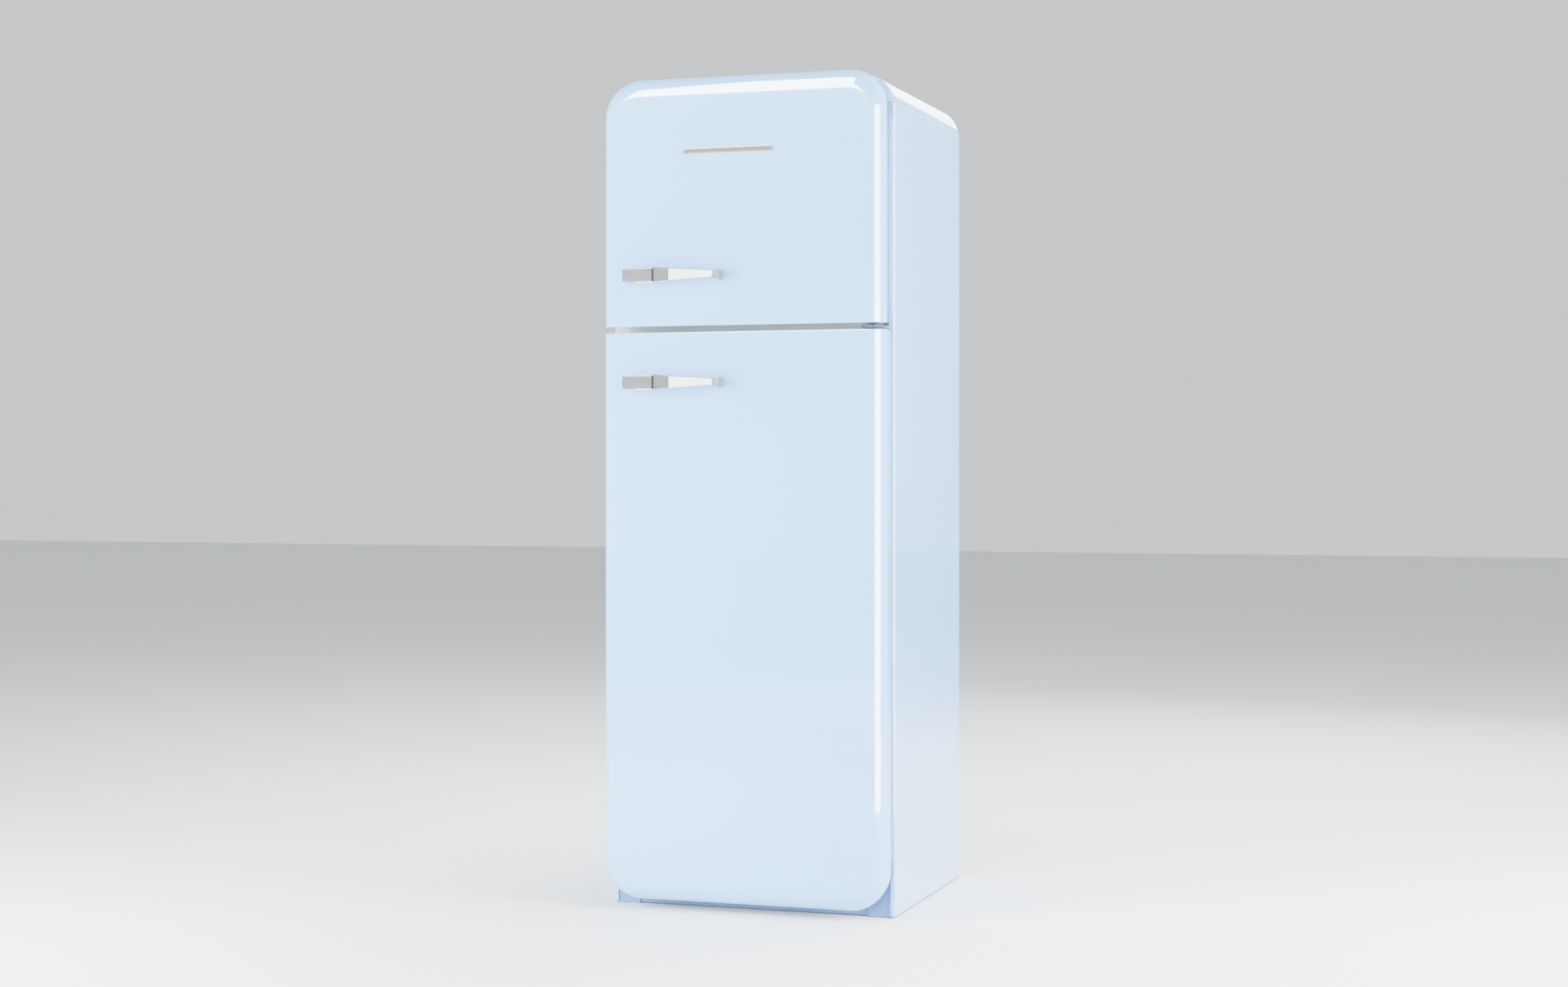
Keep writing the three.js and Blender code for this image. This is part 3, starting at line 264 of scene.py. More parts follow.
ENAMEL = "7BB4EC"
ENAMEL_DEEP = "74AFEA"
ENAMEL_RIM_HIGHLIGHT = "9CC7F2"
enamel, tree = blank_material("pale_blue_enamel")
pigment = blend(tree, use(tree, handling, Scale=1.6, Streaks=0.2), tint(ENAMEL), tint(ENAMEL_DEEP))
# Painted highlight: the enamel is painted paler along every rim.
rim_highlight = blend(tree, use(tree, rim_wear_and_highlight, Radius=0.002, Breakup=0.6), pigment, tint(ENAMEL_RIM_HIGHLIGHT))
gloss = between(tree, use(tree, handling, Scale=7.0, Streaks=0.6), 0.05, 0.10)
peel = use(tree, orange_peel, Scale=150.0, Fine=0.15)
close(tree, rim_highlight, gloss, peel, 0.02 * mm, Coat_Weight=1.0, Coat_IOR=1.6, Coat_Roughness=0.03, IOR=1.5)


def outline(u0, u1, v0, v1, low, high=None, steps=10):
    """A rectangle's outline with rounded corners, as (u, v) points; low and high are the corners' radii."""
    high = low if high is None else high
    corners = [
        (u1 - low, v0 + low, low, -90),
        (u1 - high, v1 - high, high, 0),
        (u0 + high, v1 - high, high, 90),
        (u0 + low, v0 + low, low, 180),
    ]
    points = []
    for u, v, radius, first in corners:
        turns = [radians(first + 90 * k / steps) for k in range(steps + 1)]
        points += [(u + radius * cos(a), v + radius * sin(a)) for a in turns]
    return points


def loft(bm, rings, ends=(True, True), closed=True):
    """Joins rings of points, all of one length, into a skin."""
    rows = [[bm.verts.new(point) for point in ring] for ring in rings]
    for low, high in zip(rows, rows[1:]):
        for i in range(len(low) if closed else len(low) - 1):
            j = (i + 1) % len(low)
            bm.faces.new((low[i], low[j], high[j], high[i]))
    if ends[0]:
        bm.faces.new(rows[0][::-1])
    if ends[1]:
        bm.faces.new(rows[-1])


def soften(bm, width, segments=3, angle=35, edges=None):
    """Rounds the edges that turn by more than an angle."""
    bmesh.ops.recalc_face_normals(bm, faces=bm.faces)
    sharp = [e for e in edges or bm.edges if len(e.link_faces) == 2 and e.calc_face_angle() > radians(angle)]
    bmesh.ops.bevel(
        bm, geom=sharp, offset=width, segments=segments, profile=0.5, affect="EDGES", clamp_overlap=True
    )


def piece(name, bm, material, smooth=38, thickness=0):
    """Turns a bmesh into a finished object, smooth where it turns by less than an angle."""
    bmesh.ops.remove_doubles(bm, verts=bm.verts, dist=0.002 * mm)
    bmesh.ops.recalc_face_normals(bm, faces=bm.faces)
    mesh = bpy.data.meshes.new(name)
    bm.to_mesh(mesh)
    bm.free()
    mesh.materials.append(material)
    mesh.shade_smooth()
    mesh.set_sharp_from_angle(angle=radians(smooth))
    made = bpy.data.objects.new(name, mesh)
    bpy.context.scene.collection.objects.link(made)
    if thickness:
        shell = made.modifiers.new("thickness", "SOLIDIFY")
        shell.thickness = abs(thickness)
        shell.offset = -1 if thickness > 0 else 1
    made.modifiers.new("even_shading", "WEIGHTED_NORMAL").keep_sharp = True
    return made


def fit(made, body, slot, *nodes):
    """Fixes a piece to its body, lets the cards of its finish show in it, and hides the frame's nodes it
    replaces.
    """
    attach(made, body)
    if slot in shown_in:
        shown_in[slot].objects.link(made)
    if nodes:
        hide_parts(*nodes)


def cut(bm, point, normal):
    """Cuts off what lies beyond a plane and closes the cut."""
    everything = bm.verts[:] + bm.edges[:] + bm.faces[:]
    made = bmesh.ops.bisect_plane(bm, geom=everything, plane_co=point, plane_no=normal, clear_outer=True)
    rim = [e for e in made["geom_cut"] if isinstance(e, bmesh.types.BMEdge)]
    bmesh.ops.edgeloop_fill(bm, edges=rim)


def roll_rings(low, high, front, corner_steps=14, roll_steps=14):
    """The rings of a door front from its open back to its flat face; the ends roll wider than the sides."""
    rings = []
    quarters = [(1, 1), (-1, 1), (-1, -1), (1, -1)]
    for row in range(-1, roll_steps + 2):
        turn = pi / 2 * min(max(row, 0), roll_steps) / roll_steps
        inset = 5 * mm if row > roll_steps else 0
        ring = []
        for quarter, (sx, sz) in enumerate(quarters):
            cx = sx * (high.x - DOOR_CORNER)
            cz = high.z - DOOR_CORNER if sz > 0 else low.z + DOOR_CORNER
            for k in range(corner_steps + 1):
                angle = (quarter + k / corner_steps) * pi / 2
                roll = SIDE_ROLL + (END_ROLL - SIDE_ROLL) * sin(angle) ** 2
                reach = DOOR_CORNER - roll * (1 - cos(turn)) - inset
                y = front + roll * (1 - sin(turn)) if row >= 0 else -GASKET_DEPTH
                ring.append((cx + reach * cos(angle), y, cz + reach * sin(angle)))
        rings.append(ring)
    return rings


def pressed_front(body):
    """One door's sheet: a lofted shell cut off flat where the doors meet, its fold rounded."""
    low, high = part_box(body + "_skin")
    back = high.y
    upper = body == "freezer_door"
    bm = bmesh.new()
    spare = 2 * DOOR_CORNER
    if upper:
        high.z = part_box("roof_panel")[1].z + RISE
        edge = low.z
        loft(bm, roll_rings(low - Vector((0, 0, spare)), high, low.y))
    else:
        edge = high.z
        loft(bm, roll_rings(low, high + Vector((0, 0, spare)), low.y))
    cut(bm, (0, back, 0), (0, 1, 0))
    cut(bm, (0, 0, edge), (0, 0, -1 if upper else 1))
    bmesh.ops.recalc_face_normals(bm, faces=bm.faces)
    at_back = [f for f in bm.faces if abs(f.calc_center_median().y - back) < 1e-6 and f.normal.y > 0.9]
    bmesh.ops.delete(bm, geom=at_back, context="FACES_ONLY")
    folds = [e for e in bm.edges if all(abs(v.co.z - edge) < 1e-6 for v in e.verts)]
    soften(bm, FOLD, 3, 35, folds)
    fit(piece(body + "_front", bm, enamel, 38, SHEET), body, "enamel", body + "_skin")


pressed_front("freezer_door")
pressed_front("fridge_door")


# Cabinet sheet --------------------------------------------------------------------------------------
# The two sides are folded from one sheet each, turned in at the front and back; the roof panel wraps
# over both upper edges and meets them in a fine joint. All three carry the doors' enamel.
BEND = 2.5 * mm
FRONT_RETURN = 34 * mm
SKIRT_RETURN = 8 * mm
BACK_RETURN = 8 * mm
ROOF_CORNER = 64 * mm
JOINT = 0.9 * mm  # how far the edges at the joint are rolled in


def quarter(steps):
    """The angles of a quarter turn, both ends included."""
    return [pi / 2 * k / steps for k in range(steps + 1)]


def bent(points, radius, steps=5):
    """A line through (u, v) points whose inner corners are bends."""
    line = [Vector(points[0])]
    for before, corner, after in zip(points, points[1:], points[2:]):
        u = (Vector(before) - Vector(corner)).normalized()
        v = (Vector(after) - Vector(corner)).normalized()
        half_angle = u.angle(v) / 2
        if half_angle > radians(89):
            line.append(Vector(corner))
            continue
        middle = Vector(corner) + (u + v).normalized() * (radius / sin(half_angle))
        lead = radius * cos(half_angle) / sin(half_angle)
        start = (Vector(corner) + u * lead - middle).normalized()
        end = (Vector(corner) + v * lead - middle).normalized()
        line += [middle + start.slerp(end, k / steps) * radius for k in range(steps + 1)]
    return line + [Vector(points[-1])]


def block(bm, low, high, radius=0, segments=3):
    """A box between two opposite corners, its edges rounded."""
    part = bmesh.new()
    bmesh.ops.create_cube(part, size=1)
    size = [abs(b - a) for a, b in zip(low, high)]
    place = [(a + b) / 2 for a, b in zip(low, high)]
    part.transform(Matrix.Translation(place) @ Matrix.Diagonal((*size, 1)))
    if radius:
        soften(part, radius, segments)
    join(bm, part)


def join(bm, part):
    """Moves one bmesh's faces into another."""
    scrap = bpy.data.meshes.new("scrap")
    part.to_mesh(scrap)
    part.free()
    bm.from_mesh(scrap)
    bpy.data.meshes.remove(scrap)


cabinet_low, cabinet_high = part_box("side_panel_right")
face_y = cabinet_low.y  # the cabinet's front face
half = cabinet_high.x
pan_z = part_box("plinth_centre")[1].z

for side, name in ((-1, "left"), (1, "right")):
    low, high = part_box("side_panel_" + name)
    rest = [(side * half, low.y), (side * half, high.y), (side * (half - BACK_RETURN), high.y)]
    skirt = bent([(side * (half - SKIRT_RETURN), low.y), *rest], BEND)
    flange = [Vector((side * (half - FRONT_RETURN), low.y)), *skirt]
    bm = bmesh.new()
    loft(bm, [[(p.x, p.y, z) for p in skirt] for z in (low.z, pan_z)], (False, False), False)
    rows = [(pan_z, 0), (high.z - JOINT, 0), (high.z - 0.3 * JOINT, 0.3 * JOINT), (high.z, JOINT)]
    loft(bm, [[(p.x - side * inset, p.y, z) for p in flange] for z, inset in rows], (False, False), False)
    panel = piece("cabinet_side_" + name, bm, enamel, 38, -SHEET * side)
    fit(panel, "cabinet", "enamel", "side_panel_" + name)

low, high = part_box("roof_panel")
seam_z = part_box("side_panel_right")[1].z + 0.3 * mm


def roof_line(inset, y):
    """The roof's front outline from joint to joint, drawn in by an inset."""
    radius = ROOF_CORNER - inset
    points = [(half - inset - JOINT, seam_z), (half - inset - 0.3 * JOINT, seam_z + 0.3 * JOINT)]
    points += [(half - inset, seam_z + JOINT)]
    x, z = half - ROOF_CORNER, high.z - ROOF_CORNER
    points += [(x + radius * cos(a), z + radius * sin(a)) for a in quarter(16)]
    return [(x, y, z) for x, z in points] + [(-x, y, z) for x, z in reversed(points)]


bm = bmesh.new()
rings = [roof_line(BEND * (1 - sin(a)), low.y + BEND * (1 - cos(a))) for a in quarter(5)]
rings += [roof_line(BEND * (1 - cos(a)), high.y - BEND * (1 - sin(a))) for a in quarter(5)]
rings += [roof_line(BACK_RETURN, high.y)]
loft(bm, rings, (True, False), False)
fit(piece("cabinet_roof", bm, enamel, 38, SHEET), "cabinet", "enamel", "roof_panel")

bm = bmesh.new()
tongue = half - FRONT_RETURN - 0.3 * mm
block(bm, (-tongue, low.y, low.z), (tongue, low.y + SHEET, seam_z + 2 * mm), 0.4 * mm)
fit(piece("cabinet_lintel", bm, enamel), "cabinet", "enamel")

# Centre rail ----------------------------------------------------------------------------------------
# A rolled channel between the two compartments, in satin grey so that the seals close on it.
RAIL_GREY = "989DA3"
rail_paint, tree = blank_material("rail_grey")
smudges_and_rim_highlight = blend(tree, use(tree, handling, Scale=9.0), tint(RAIL_GREY), tint("8D939A"))
# Painted highlight: the grey is painted lighter along every rim.
edges = blend(tree, use(tree, rim_wear_and_highlight, Radius=0.0008), smudges_and_rim_highlight, tint("C3C7CB"))
satin = between(tree, use(tree, handling, Scale=14.0), 0.3, 0.42)
close(tree, edges, satin, use(tree, orange_peel, Scale=300.0), 0.02 * mm)


def edged_copy(name, node, material, width, segments=2, smooth=38):
    """A node's own shape with its edges rounded."""
    bm = bmesh.new()
    bm.from_mesh(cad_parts[node].data)
    bmesh.ops.remove_doubles(bm, verts=bm.verts, dist=0.01 * mm)
    bmesh.ops.dissolve_limit(bm, angle_limit=radians(1), verts=bm.verts, edges=bm.edges)
    soften(bm, width, segments)
    return piece(name, bm, material, smooth)


fit(edged_copy("rail", "centre_rail", rail_paint, 0.5 * mm), "cabinet", "enamel", "centre_rail")
rail_low, rail_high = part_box("fridge_door_gasket")[1].z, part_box("freezer_door_gasket")[0].z
bm = bmesh.new()
corner = Vector((-half + 1.5 * mm, face_y - 0.6 * mm, rail_low + 1 * mm))
block(bm, corner, (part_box("centre_rail")[0].x, face_y - 0.05 * mm, rail_high - 1 * mm), 0.2 * mm, 1)
fit(piece("rail_end", bm, rail_paint), "cabinet", "enamel")

# Back panel -----------------------------------------------------------------------------------------
# Galvanised sheet screwed over the back, stiffened by two upright pressed beads.
zinc, tree = blank_material("galvanised_steel")
cells = add(tree, "TexVoronoi", Vector=add(tree, "TexCoord").outputs["Object"], Scale=110.0)
flakes = add(tree, "SeparateColor", Color=cells.outputs["Color"]).outputs[0]
plate = blend(tree, flakes, tint("9DA3A7"), tint("B7BCC0"))
stained = blend(tree, use(tree, handling, Scale=4.0, Streaks=0.7), plate, tint("8F9498"))
bright = blend(tree, use(tree, rim_wear_and_highlight, Radius=0.0007), stained, tint("D4D8DA"))
dull = between(tree, flakes, 0.32, 0.5)
close(tree, bright, dull, flakes, 0.01 * mm, Metallic=0.9)

steel, tree = blank_material("screw_steel")
turned_marks = use(tree, handling, Scale=60.0, Streaks=0.8)
steel_tone = blend(tree, turned_marks, tint("C3C6C8"), tint("9FA3A6"))
close(tree, steel_tone, between(tree, turned_marks, 0.22, 0.4), turned_marks, 0.02 * mm, Metallic=1.0)


def in_mm(*points):
    """Points whose numbers are millimetres."""
    return [tuple(number * mm for number in point) for point in points]


def full_turn(sides):
    """The angles of the corners round a full turn."""
    return [tau * k / sides for k in range(sides)]


def lathe(bm, profile, start, direction, sides=32, wave=None):
    """Turns (radius, distance) points round an axis; wave changes the radius round the turn."""
    axis = Vector(direction).normalized()
    u = axis.orthogonal().normalized()
    v = axis.cross(u)
    rings = []
    for radius, along in profile:
        middle = Vector(start) + axis * along
        spokes = [(u * cos(a) + v * sin(a)) * ((wave(a) if wave else 1) * radius) for a in full_turn(sides)]
        rings.append([middle + spoke for spoke in spokes])
    part = bmesh.new()
    loft(part, rings)
    join(bm, part)


def screw(bm, place, direction, head=3.6 * mm):
    """A pan-head screw with a cross recess, standing on a face."""
    dome = [(head, -0.4 * mm), (head, 0.7 * mm), (0.88 * head, 1.5 * mm), (0.6 * head, 2.0 * mm)]
    recess = [(0.34 * head, 2.1 * mm), (0.24 * head, 1.1 * mm)]
    lathe(bm, dome + recess, place, direction, 16)
    axis = Vector(direction).normalized()
    u = axis.orthogonal().normalized()
    for arm in (u, axis.cross(u)):
        for way in (-1, 1):
            middle = Vector(place) + axis * 2.0 * mm + arm * way * 0.42 * head
            reach = [abs(c) * 0.22 * head + 0.3 * mm for c in arm]
            low = [m - r for m, r in zip(middle, reach)]
            block(bm, low, [m + r for m, r in zip(middle, reach)], 0.1 * mm, 1)


low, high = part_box("back_panel")
sheet_line = [(x, z) for x, y, z in roof_line(1.5 * mm, 0)]
sheet_line = [(x, z) for x, z in sheet_line if z > seam_z + 2 * mm]
sheet_line = [(high.x, low.z), *sheet_line, (low.x, low.z)]
bm = bmesh.new()
loft(bm, [[(x, y, z) for x, z in sheet_line] for y in (low.y + 0.2 * mm, high.y - 0.2 * mm)])
BEAD_HALF = 9 * mm
BEAD_LOW, BEAD_HIGH = low.z + 0.09, high.z - 0.12
BEAD_CROWN = [(0, 0), (0.3, 0.55), (0.75, 0.9), (2.4, 1.0)]  # in from its edge and up, as shares
for x in (-0.2, 0.2):
    rings = []
    for inset, rise in BEAD_CROWN:
        inset = inset * 2 * mm
        reach, radius = BEAD_HALF - inset, 8.9 * mm - inset
        bead = outline(x - reach, x + reach, BEAD_LOW + inset, BEAD_HIGH - inset, radius)
        rings.append([(u, high.y - 0.3 * mm + rise * 1.6 * mm, v) for u, v in bead])
    part = bmesh.new()
    loft(part, rings, (False, True))
    join(bm, part)
fit(piece("back_sheet", bm, zinc), "cabinet", "zinc_steel", "back_panel")
bm = bmesh.new()
for z in (low.z + 14 * mm, low.z + 0.45, low.z + 0.9, high.z - 0.1):
    for side in (-1, 1):
        screw(bm, (side * (high.x - 12 * mm), high.y, z), (0, 1, 0))
fit(piece("back_screws", bm, steel, 50), "cabinet", "zinc_steel")

# Base -----------------------------------------------------------------------------------------------
# One folded galvanised pan closes the underside and carries the compressor, the rollers' ears and the
# nuts of the screw feet; a blue plastic plinth with a block at each end hides it from the front, its blue
# deepened as painted shade for the recess it sits in.
fit(edged_copy("folded_base", "base_pan", zinc, 0.4 * mm), "cabinet", "zinc_steel", "base_pan")

# Part the plinth's own blue, part painted shade: its colour is deepened for the shade of its recess.
PLINTH_BLUE_AND_SHADE = "4F78AC"
plinth_plastic, tree = blank_material("plinth_plastic")
plinth_tone_and_shade = blend(tree, use(tree, handling, Scale=6.0), tint(PLINTH_BLUE_AND_SHADE), tint("4870A3"))
scuffed = blend(tree, use(tree, rim_wear_and_highlight, Radius=0.001), plinth_tone_and_shade, tint("86A4C8"))
dusty = blend(tree, use(tree, dust, Amount=0.3), scuffed, tint("B3B5B4"))
satin = between(tree, use(tree, handling, Scale=18.0), 0.38, 0.55)
close(tree, dusty, satin, use(tree, orange_peel, Scale=700.0, Fine=0.6), 0.03 * mm)

low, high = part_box("plinth_centre")
bm = bmesh.new()
block(bm, low, high, 0.8 * mm)
for row in range(3):
    z = low.z + (20 + row * 14) * mm
    block(bm, (low.x + 0.03, low.y - 1.2 * mm, z), (high.x - 0.03, low.y + 0.5 * mm, z + 5 * mm), 0.6 * mm)
fit(piece("plinth_board", bm, plinth_plastic), "cabinet", "grey_plastic", "plinth_centre")
for side in ("left", "right"):
    low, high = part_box("plinth_corner_" + side)
    bm = bmesh.new()
    block(bm, low, high, 1.2 * mm)
    fit(piece("plinth_block_" + side, bm, plinth_plastic), "cabinet", "grey_plastic", "plinth_corner_" + side)

# Feet and rollers -----------------------------------------------------------------------------------
# Ribbed black pads on threaded studs level the front, and two nylon-cored rubber rollers on steel axles
# let the back roll out.
black_rubber, tree = blank_material("black_rubber")
bloom = blend(tree, use(tree, handling, Scale=30.0), tint("242527"), tint("323436"))
dusty = blend(tree, use(tree, dust, Amount=0.5), bloom, tint("77756F"))
matt = between(tree, use(tree, handling, Scale=30.0), 0.65, 0.85)
close(tree, dusty, matt, scaled_noise(tree, 900.0), 0.05 * mm)

THREAD_PITCH = 1.5 * mm
for side in ("left", "right"):
    low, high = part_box("front_foot_" + side)
    centre = ((low.x + high.x) / 2, (low.y + high.y) / 2, 0)
    pad = (high.x - low.x) / 2
    bm = bmesh.new()
    shape = [(pad * 0.86, 0), (pad * 0.97, 0.8 * mm), (pad, 2.2 * mm), (pad, 6.5 * mm)]
    shape += [(pad * 0.9, 8.5 * mm), (pad * 0.4, 9 * mm)]
    lathe(bm, shape, centre, (0, 0, 1), 72, lambda a: 1 - 0.018 * (cos(24 * a) > 0.3))
    foot = piece("foot_pad_" + side, bm, black_rubber)
    fit(foot, "front_foot_" + side, "dark_rubber", "front_foot_" + side)
    bm = bmesh.new()
    stud = [(3 * mm, 8 * mm)]
    for turn in range(int((high.z - 9 * mm) / THREAD_PITCH)):
        z = 9 * mm + turn * THREAD_PITCH
        stud += [(4.2 * mm, z), (4.9 * mm, z + 0.4 * THREAD_PITCH), (4.9 * mm, z + 0.6 * THREAD_PITCH)]
    lathe(bm, stud + [(3.5 * mm, high.z)], centre, (0, 0, 1), 20)
    lathe(bm, in_mm((9, 9.2), (9.4, 10), (9.4, 14), (9, 15)), centre, (0, 0, 1), 6)
    fit(piece("foot_stud_" + side, bm, steel), "front_foot_" + side, "dark_rubber")
    low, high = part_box("rear_roller_" + side)
    hub = (low.x, (low.y + high.y) / 2, (low.z + high.z) / 2)
    radius, width = (high.z - low.z) / 2, high.x - low.x
    tread = [(3.5 * mm, 0.6 * mm), (0.5 * radius, 0.6 * mm), (0.55 * radius, 0)]
    tread += [(0.86 * radius, 0), (radius, 2 * mm)]
    bm = bmesh.new()
    lathe(bm, tread + [(r, width - a) for r, a in reversed(tread)], hub, (1, 0, 0), 40)
    roller = piece("roller_" + side, bm, black_rubber)
    fit(roller, "rear_roller_" + side, "dark_rubber", "rear_roller_" + side)
    low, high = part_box("roller_axle_" + side)
    bm = bmesh.new()
    length = high.x - low.x
    ends = [(2.6 * mm, 0), (3 * mm, 0.5 * mm), (3 * mm, length - 0.5 * mm), (2.6 * mm, length)]
    lathe(bm, ends, (low.x, hub[1], hub[2]), (1, 0, 0), 24)
    fit(piece("axle_" + side, bm, steel), "cabinet", "zinc_steel", "roller_axle_" + side)

# Hinges ---------------------------------------------------------------------------------------------
# Pressed zinc-plated steel: cranked arms hold the doors' outer ends and a flat bracket in the gap holds
# both, each with a turned pin and two screws into the cabinet; nylon bushes line the doors' pin holes.
HINGE_HOLES = 7 * mm  # screws above and below the middle of a foot plate
for place in ("top", "middle", "bottom"):
    arm = edged_copy(place + "_hinge_arm", place + "_hinge", steel, 0.5 * mm, 3)
    fit(arm, "cabinet", "zinc_steel", place + "_hinge")
    low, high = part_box(place + "_hinge_pin")
    middle = ((low.x + high.x) / 2, (low.y + high.y) / 2, low.z)
    radius, length = (high.x - low.x) / 2, high.z - low.z
    bm = bmesh.new()
    turned = [(0.7 * radius, 0), (radius, 1 * mm), (radius, length - 1 * mm), (0.7 * radius, length)]
    lathe(bm, turned, middle, (0, 0, 1))
    fit(piece(place + "_pin", bm, steel), "cabinet", "zinc_steel", place + "_hinge_pin")
    low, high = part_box(place + "_hinge")
    bm = bmesh.new()
    foot_x = low.x + (12 if place != "middle" else 14) * mm
    for way in (-1, 1):
        z = (low.z + high.z) / 2 + way * HINGE_HOLES
        screw(bm, (foot_x, high.y - 3 * mm, z), (0, -1, 0), 2.6 * mm)
    fit(piece(place + "_hinge_screws", bm, steel, 50), "cabinet", "zinc_steel")

nylon, tree = blank_material("grey_nylon")
nylon_tone = blend(tree, use(tree, handling, Scale=40.0), tint("4A4D50"), tint("5A5E62"))
satin = between(tree, use(tree, handling, Scale=40.0), 0.4, 0.55)
close(tree, nylon_tone, satin, scaled_noise(tree, 800.0), 0.03 * mm)

ARM_HALF = 2.5 * mm  # half the middle bracket's thickness
low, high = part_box("middle_hinge_pin")
pin_x, pin_y = (low.x + high.x) / 2, (low.y + high.y) / 2
bracket_z = (low.z + high.z) / 2
for body, way in (("freezer_door", 1), ("fridge_door", -1)):
    collar = in_mm((4.5, 0.4), (9, 0.4), (9.5, 1), (9.5, 2.6), (6.4, 3.4))
    sleeve = in_mm((6.2, 8), (4.5, 8))
    bm = bmesh.new()
    lathe(bm, collar + sleeve, (pin_x, pin_y, bracket_z + way * ARM_HALF), (0, 0, way))
    fit(piece(body + "_bush", bm, nylon), body, "grey_plastic")


# Door backs -----------------------------------------------------------------------------------------
# Behind each front sits a vacuum-formed white liner full of foam, with two upright ribs that carry the
# bins and a fine bead inside the line of the seal.
WHITE = "E9EDF0"
white_plastic, tree = blank_material("white_plastic")
sheet_tone = blend(tree, use(tree, handling, Scale=5.0), tint(WHITE), tint("E1E6EA"))
# Painted highlight: the white is painted brighter along every rim.
smudges_and_rim_highlight = blend(tree, use(tree, rim_wear_and_highlight, Radius=0.0015), sheet_tone, tint("F4F6F8"))
satin = between(tree, use(tree, handling, Scale=12.0, Streaks=0.7), 0.24, 0.36)
close(tree, smudges_and_rim_highlight, satin, use(tree, orange_peel, Scale=520.0, Fine=0.5), 0.03 * mm)

foam, tree = blank_material("rigid_foam")
bubbles = add(tree, "TexVoronoi", Vector=add(tree, "TexCoord").outputs["Object"], Scale=650.0)
foam_tone = blend(tree, scaled_noise(tree, 25.0, 4.0), tint("E8D9A6"), tint("D9C68A"))
cells = bubbles.outputs["Distance"]
close(tree, foam_tone, between(tree, cells, 0.8, 0.95), cells, 0.2 * mm)
for node in ("cabinet_foam", "freezer_door_foam", "fridge_door_foam"):
    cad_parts[node].material_slots[0].material = foam

RIB_ROUND = 5 * mm
BEAD_WIDTH = 6 * mm


def ring_sweep(bm, section, lines):
    """Carries a closed section round an outline; lines gives the outline for a distance in from its edge."""
    rings = [[(u, depth, v) for u, v in lines(inset)] for inset, depth in section]
    part = bmesh.new()
    loft(part, [*rings, rings[0]], (False, False))
    bmesh.ops.remove_doubles(part, verts=part.verts, dist=0.002 * mm)
    join(bm, part)


for body in ("freezer_door", "fridge_door"):
    node = body + "_liner"
    seal_low, seal_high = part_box(body + "_gasket")
    bm = bmesh.new()
    bm.from_mesh(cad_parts[node].data)
    bmesh.ops.remove_doubles(bm, verts=bm.verts, dist=0.01 * mm)
    bmesh.ops.dissolve_limit(bm, angle_limit=radians(1), verts=bm.verts, edges=bm.edges)
    ribs = [e for e in bm.edges if min(v.co.y for v in e.verts) > seal_low.y + 1 * mm]
    bmesh.ops.recalc_face_normals(bm, faces=bm.faces)
    soften(bm, RIB_ROUND, 4, 35, ribs)
    soften(bm, 0.6 * mm, 2, 50)

    def inner_line(inset):
        """The outline just inside the seal, drawn in."""
        edge = 19 * mm + inset
        x, z0, z1 = seal_high.x - edge, seal_low.z + edge, seal_high.z - edge
        return outline(-x, x, z0, z1, 9 * mm - inset)

    wave = [(k / 8 * BEAD_WIDTH, seal_low.y - 0.3 * mm + 1.5 * mm * sin(pi * k / 8)) for k in range(9)]
    ring_sweep(bm, [*wave, (BEAD_WIDTH, seal_low.y - 1.2 * mm), (0, seal_low.y - 1.2 * mm)], inner_line)
    fit(piece(body + "_back", bm, white_plastic, 40), body, "white_plastic", node)

# White sheet lines the pocket that each cranked hinge arm swings in.
POCKET_ROOM = 4 * mm
LINING = 0.6 * mm
for body, hinge, way in (("freezer_door", "top_hinge", 1), ("fridge_door", "bottom_hinge", -1)):
    low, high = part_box(hinge)
    x0, x1 = low.x - POCKET_ROOM - 1.9 * mm, high.x + 2 * mm
    y0, y1 = low.y - 1.9 * mm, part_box(body + "_foam")[1].y - 0.5 * mm
    z0, z1 = low.z - POCKET_ROOM + 0.1 * mm, high.z + POCKET_ROOM - 0.1 * mm
    bm = bmesh.new()
    block(bm, (x0, y0, z0), (x1, y0 + LINING, z1), 0.2 * mm, 1)
    block(bm, (x0, y0, z0), (x0 + LINING, y1, z1), 0.2 * mm, 1)
    shelf_z = sorted((z1, z1 - LINING) if way > 0 else (z0, z0 + LINING))
    block(bm, (x0, y0, shelf_z[0]), (x1, y1, shelf_z[1]), 0.2 * mm, 1)
    fit(piece(body + "_pocket_lining", bm, white_plastic), body, "white_plastic")

# Seals ----------------------------------------------------------------------------------------------
# A grey vinyl profile runs round each door: a flat foot in the liner, a folded bellows, and a square
# tube that holds the magnet strip and closes on the cabinet.
seal_vinyl, tree = blank_material("seal_vinyl")
vinyl = blend(tree, use(tree, handling, Scale=12.0, Streaks=0.8), tint("B4BEC8"), tint("A3ADB8"))
aged = blend(tree, use(tree, dust, Amount=0.25), vinyl, tint("8E9294"))
satin = between(tree, use(tree, handling, Scale=20.0), 0.42, 0.6)
close(tree, aged, satin, scaled_noise(tree, 700.0), 0.04 * mm)

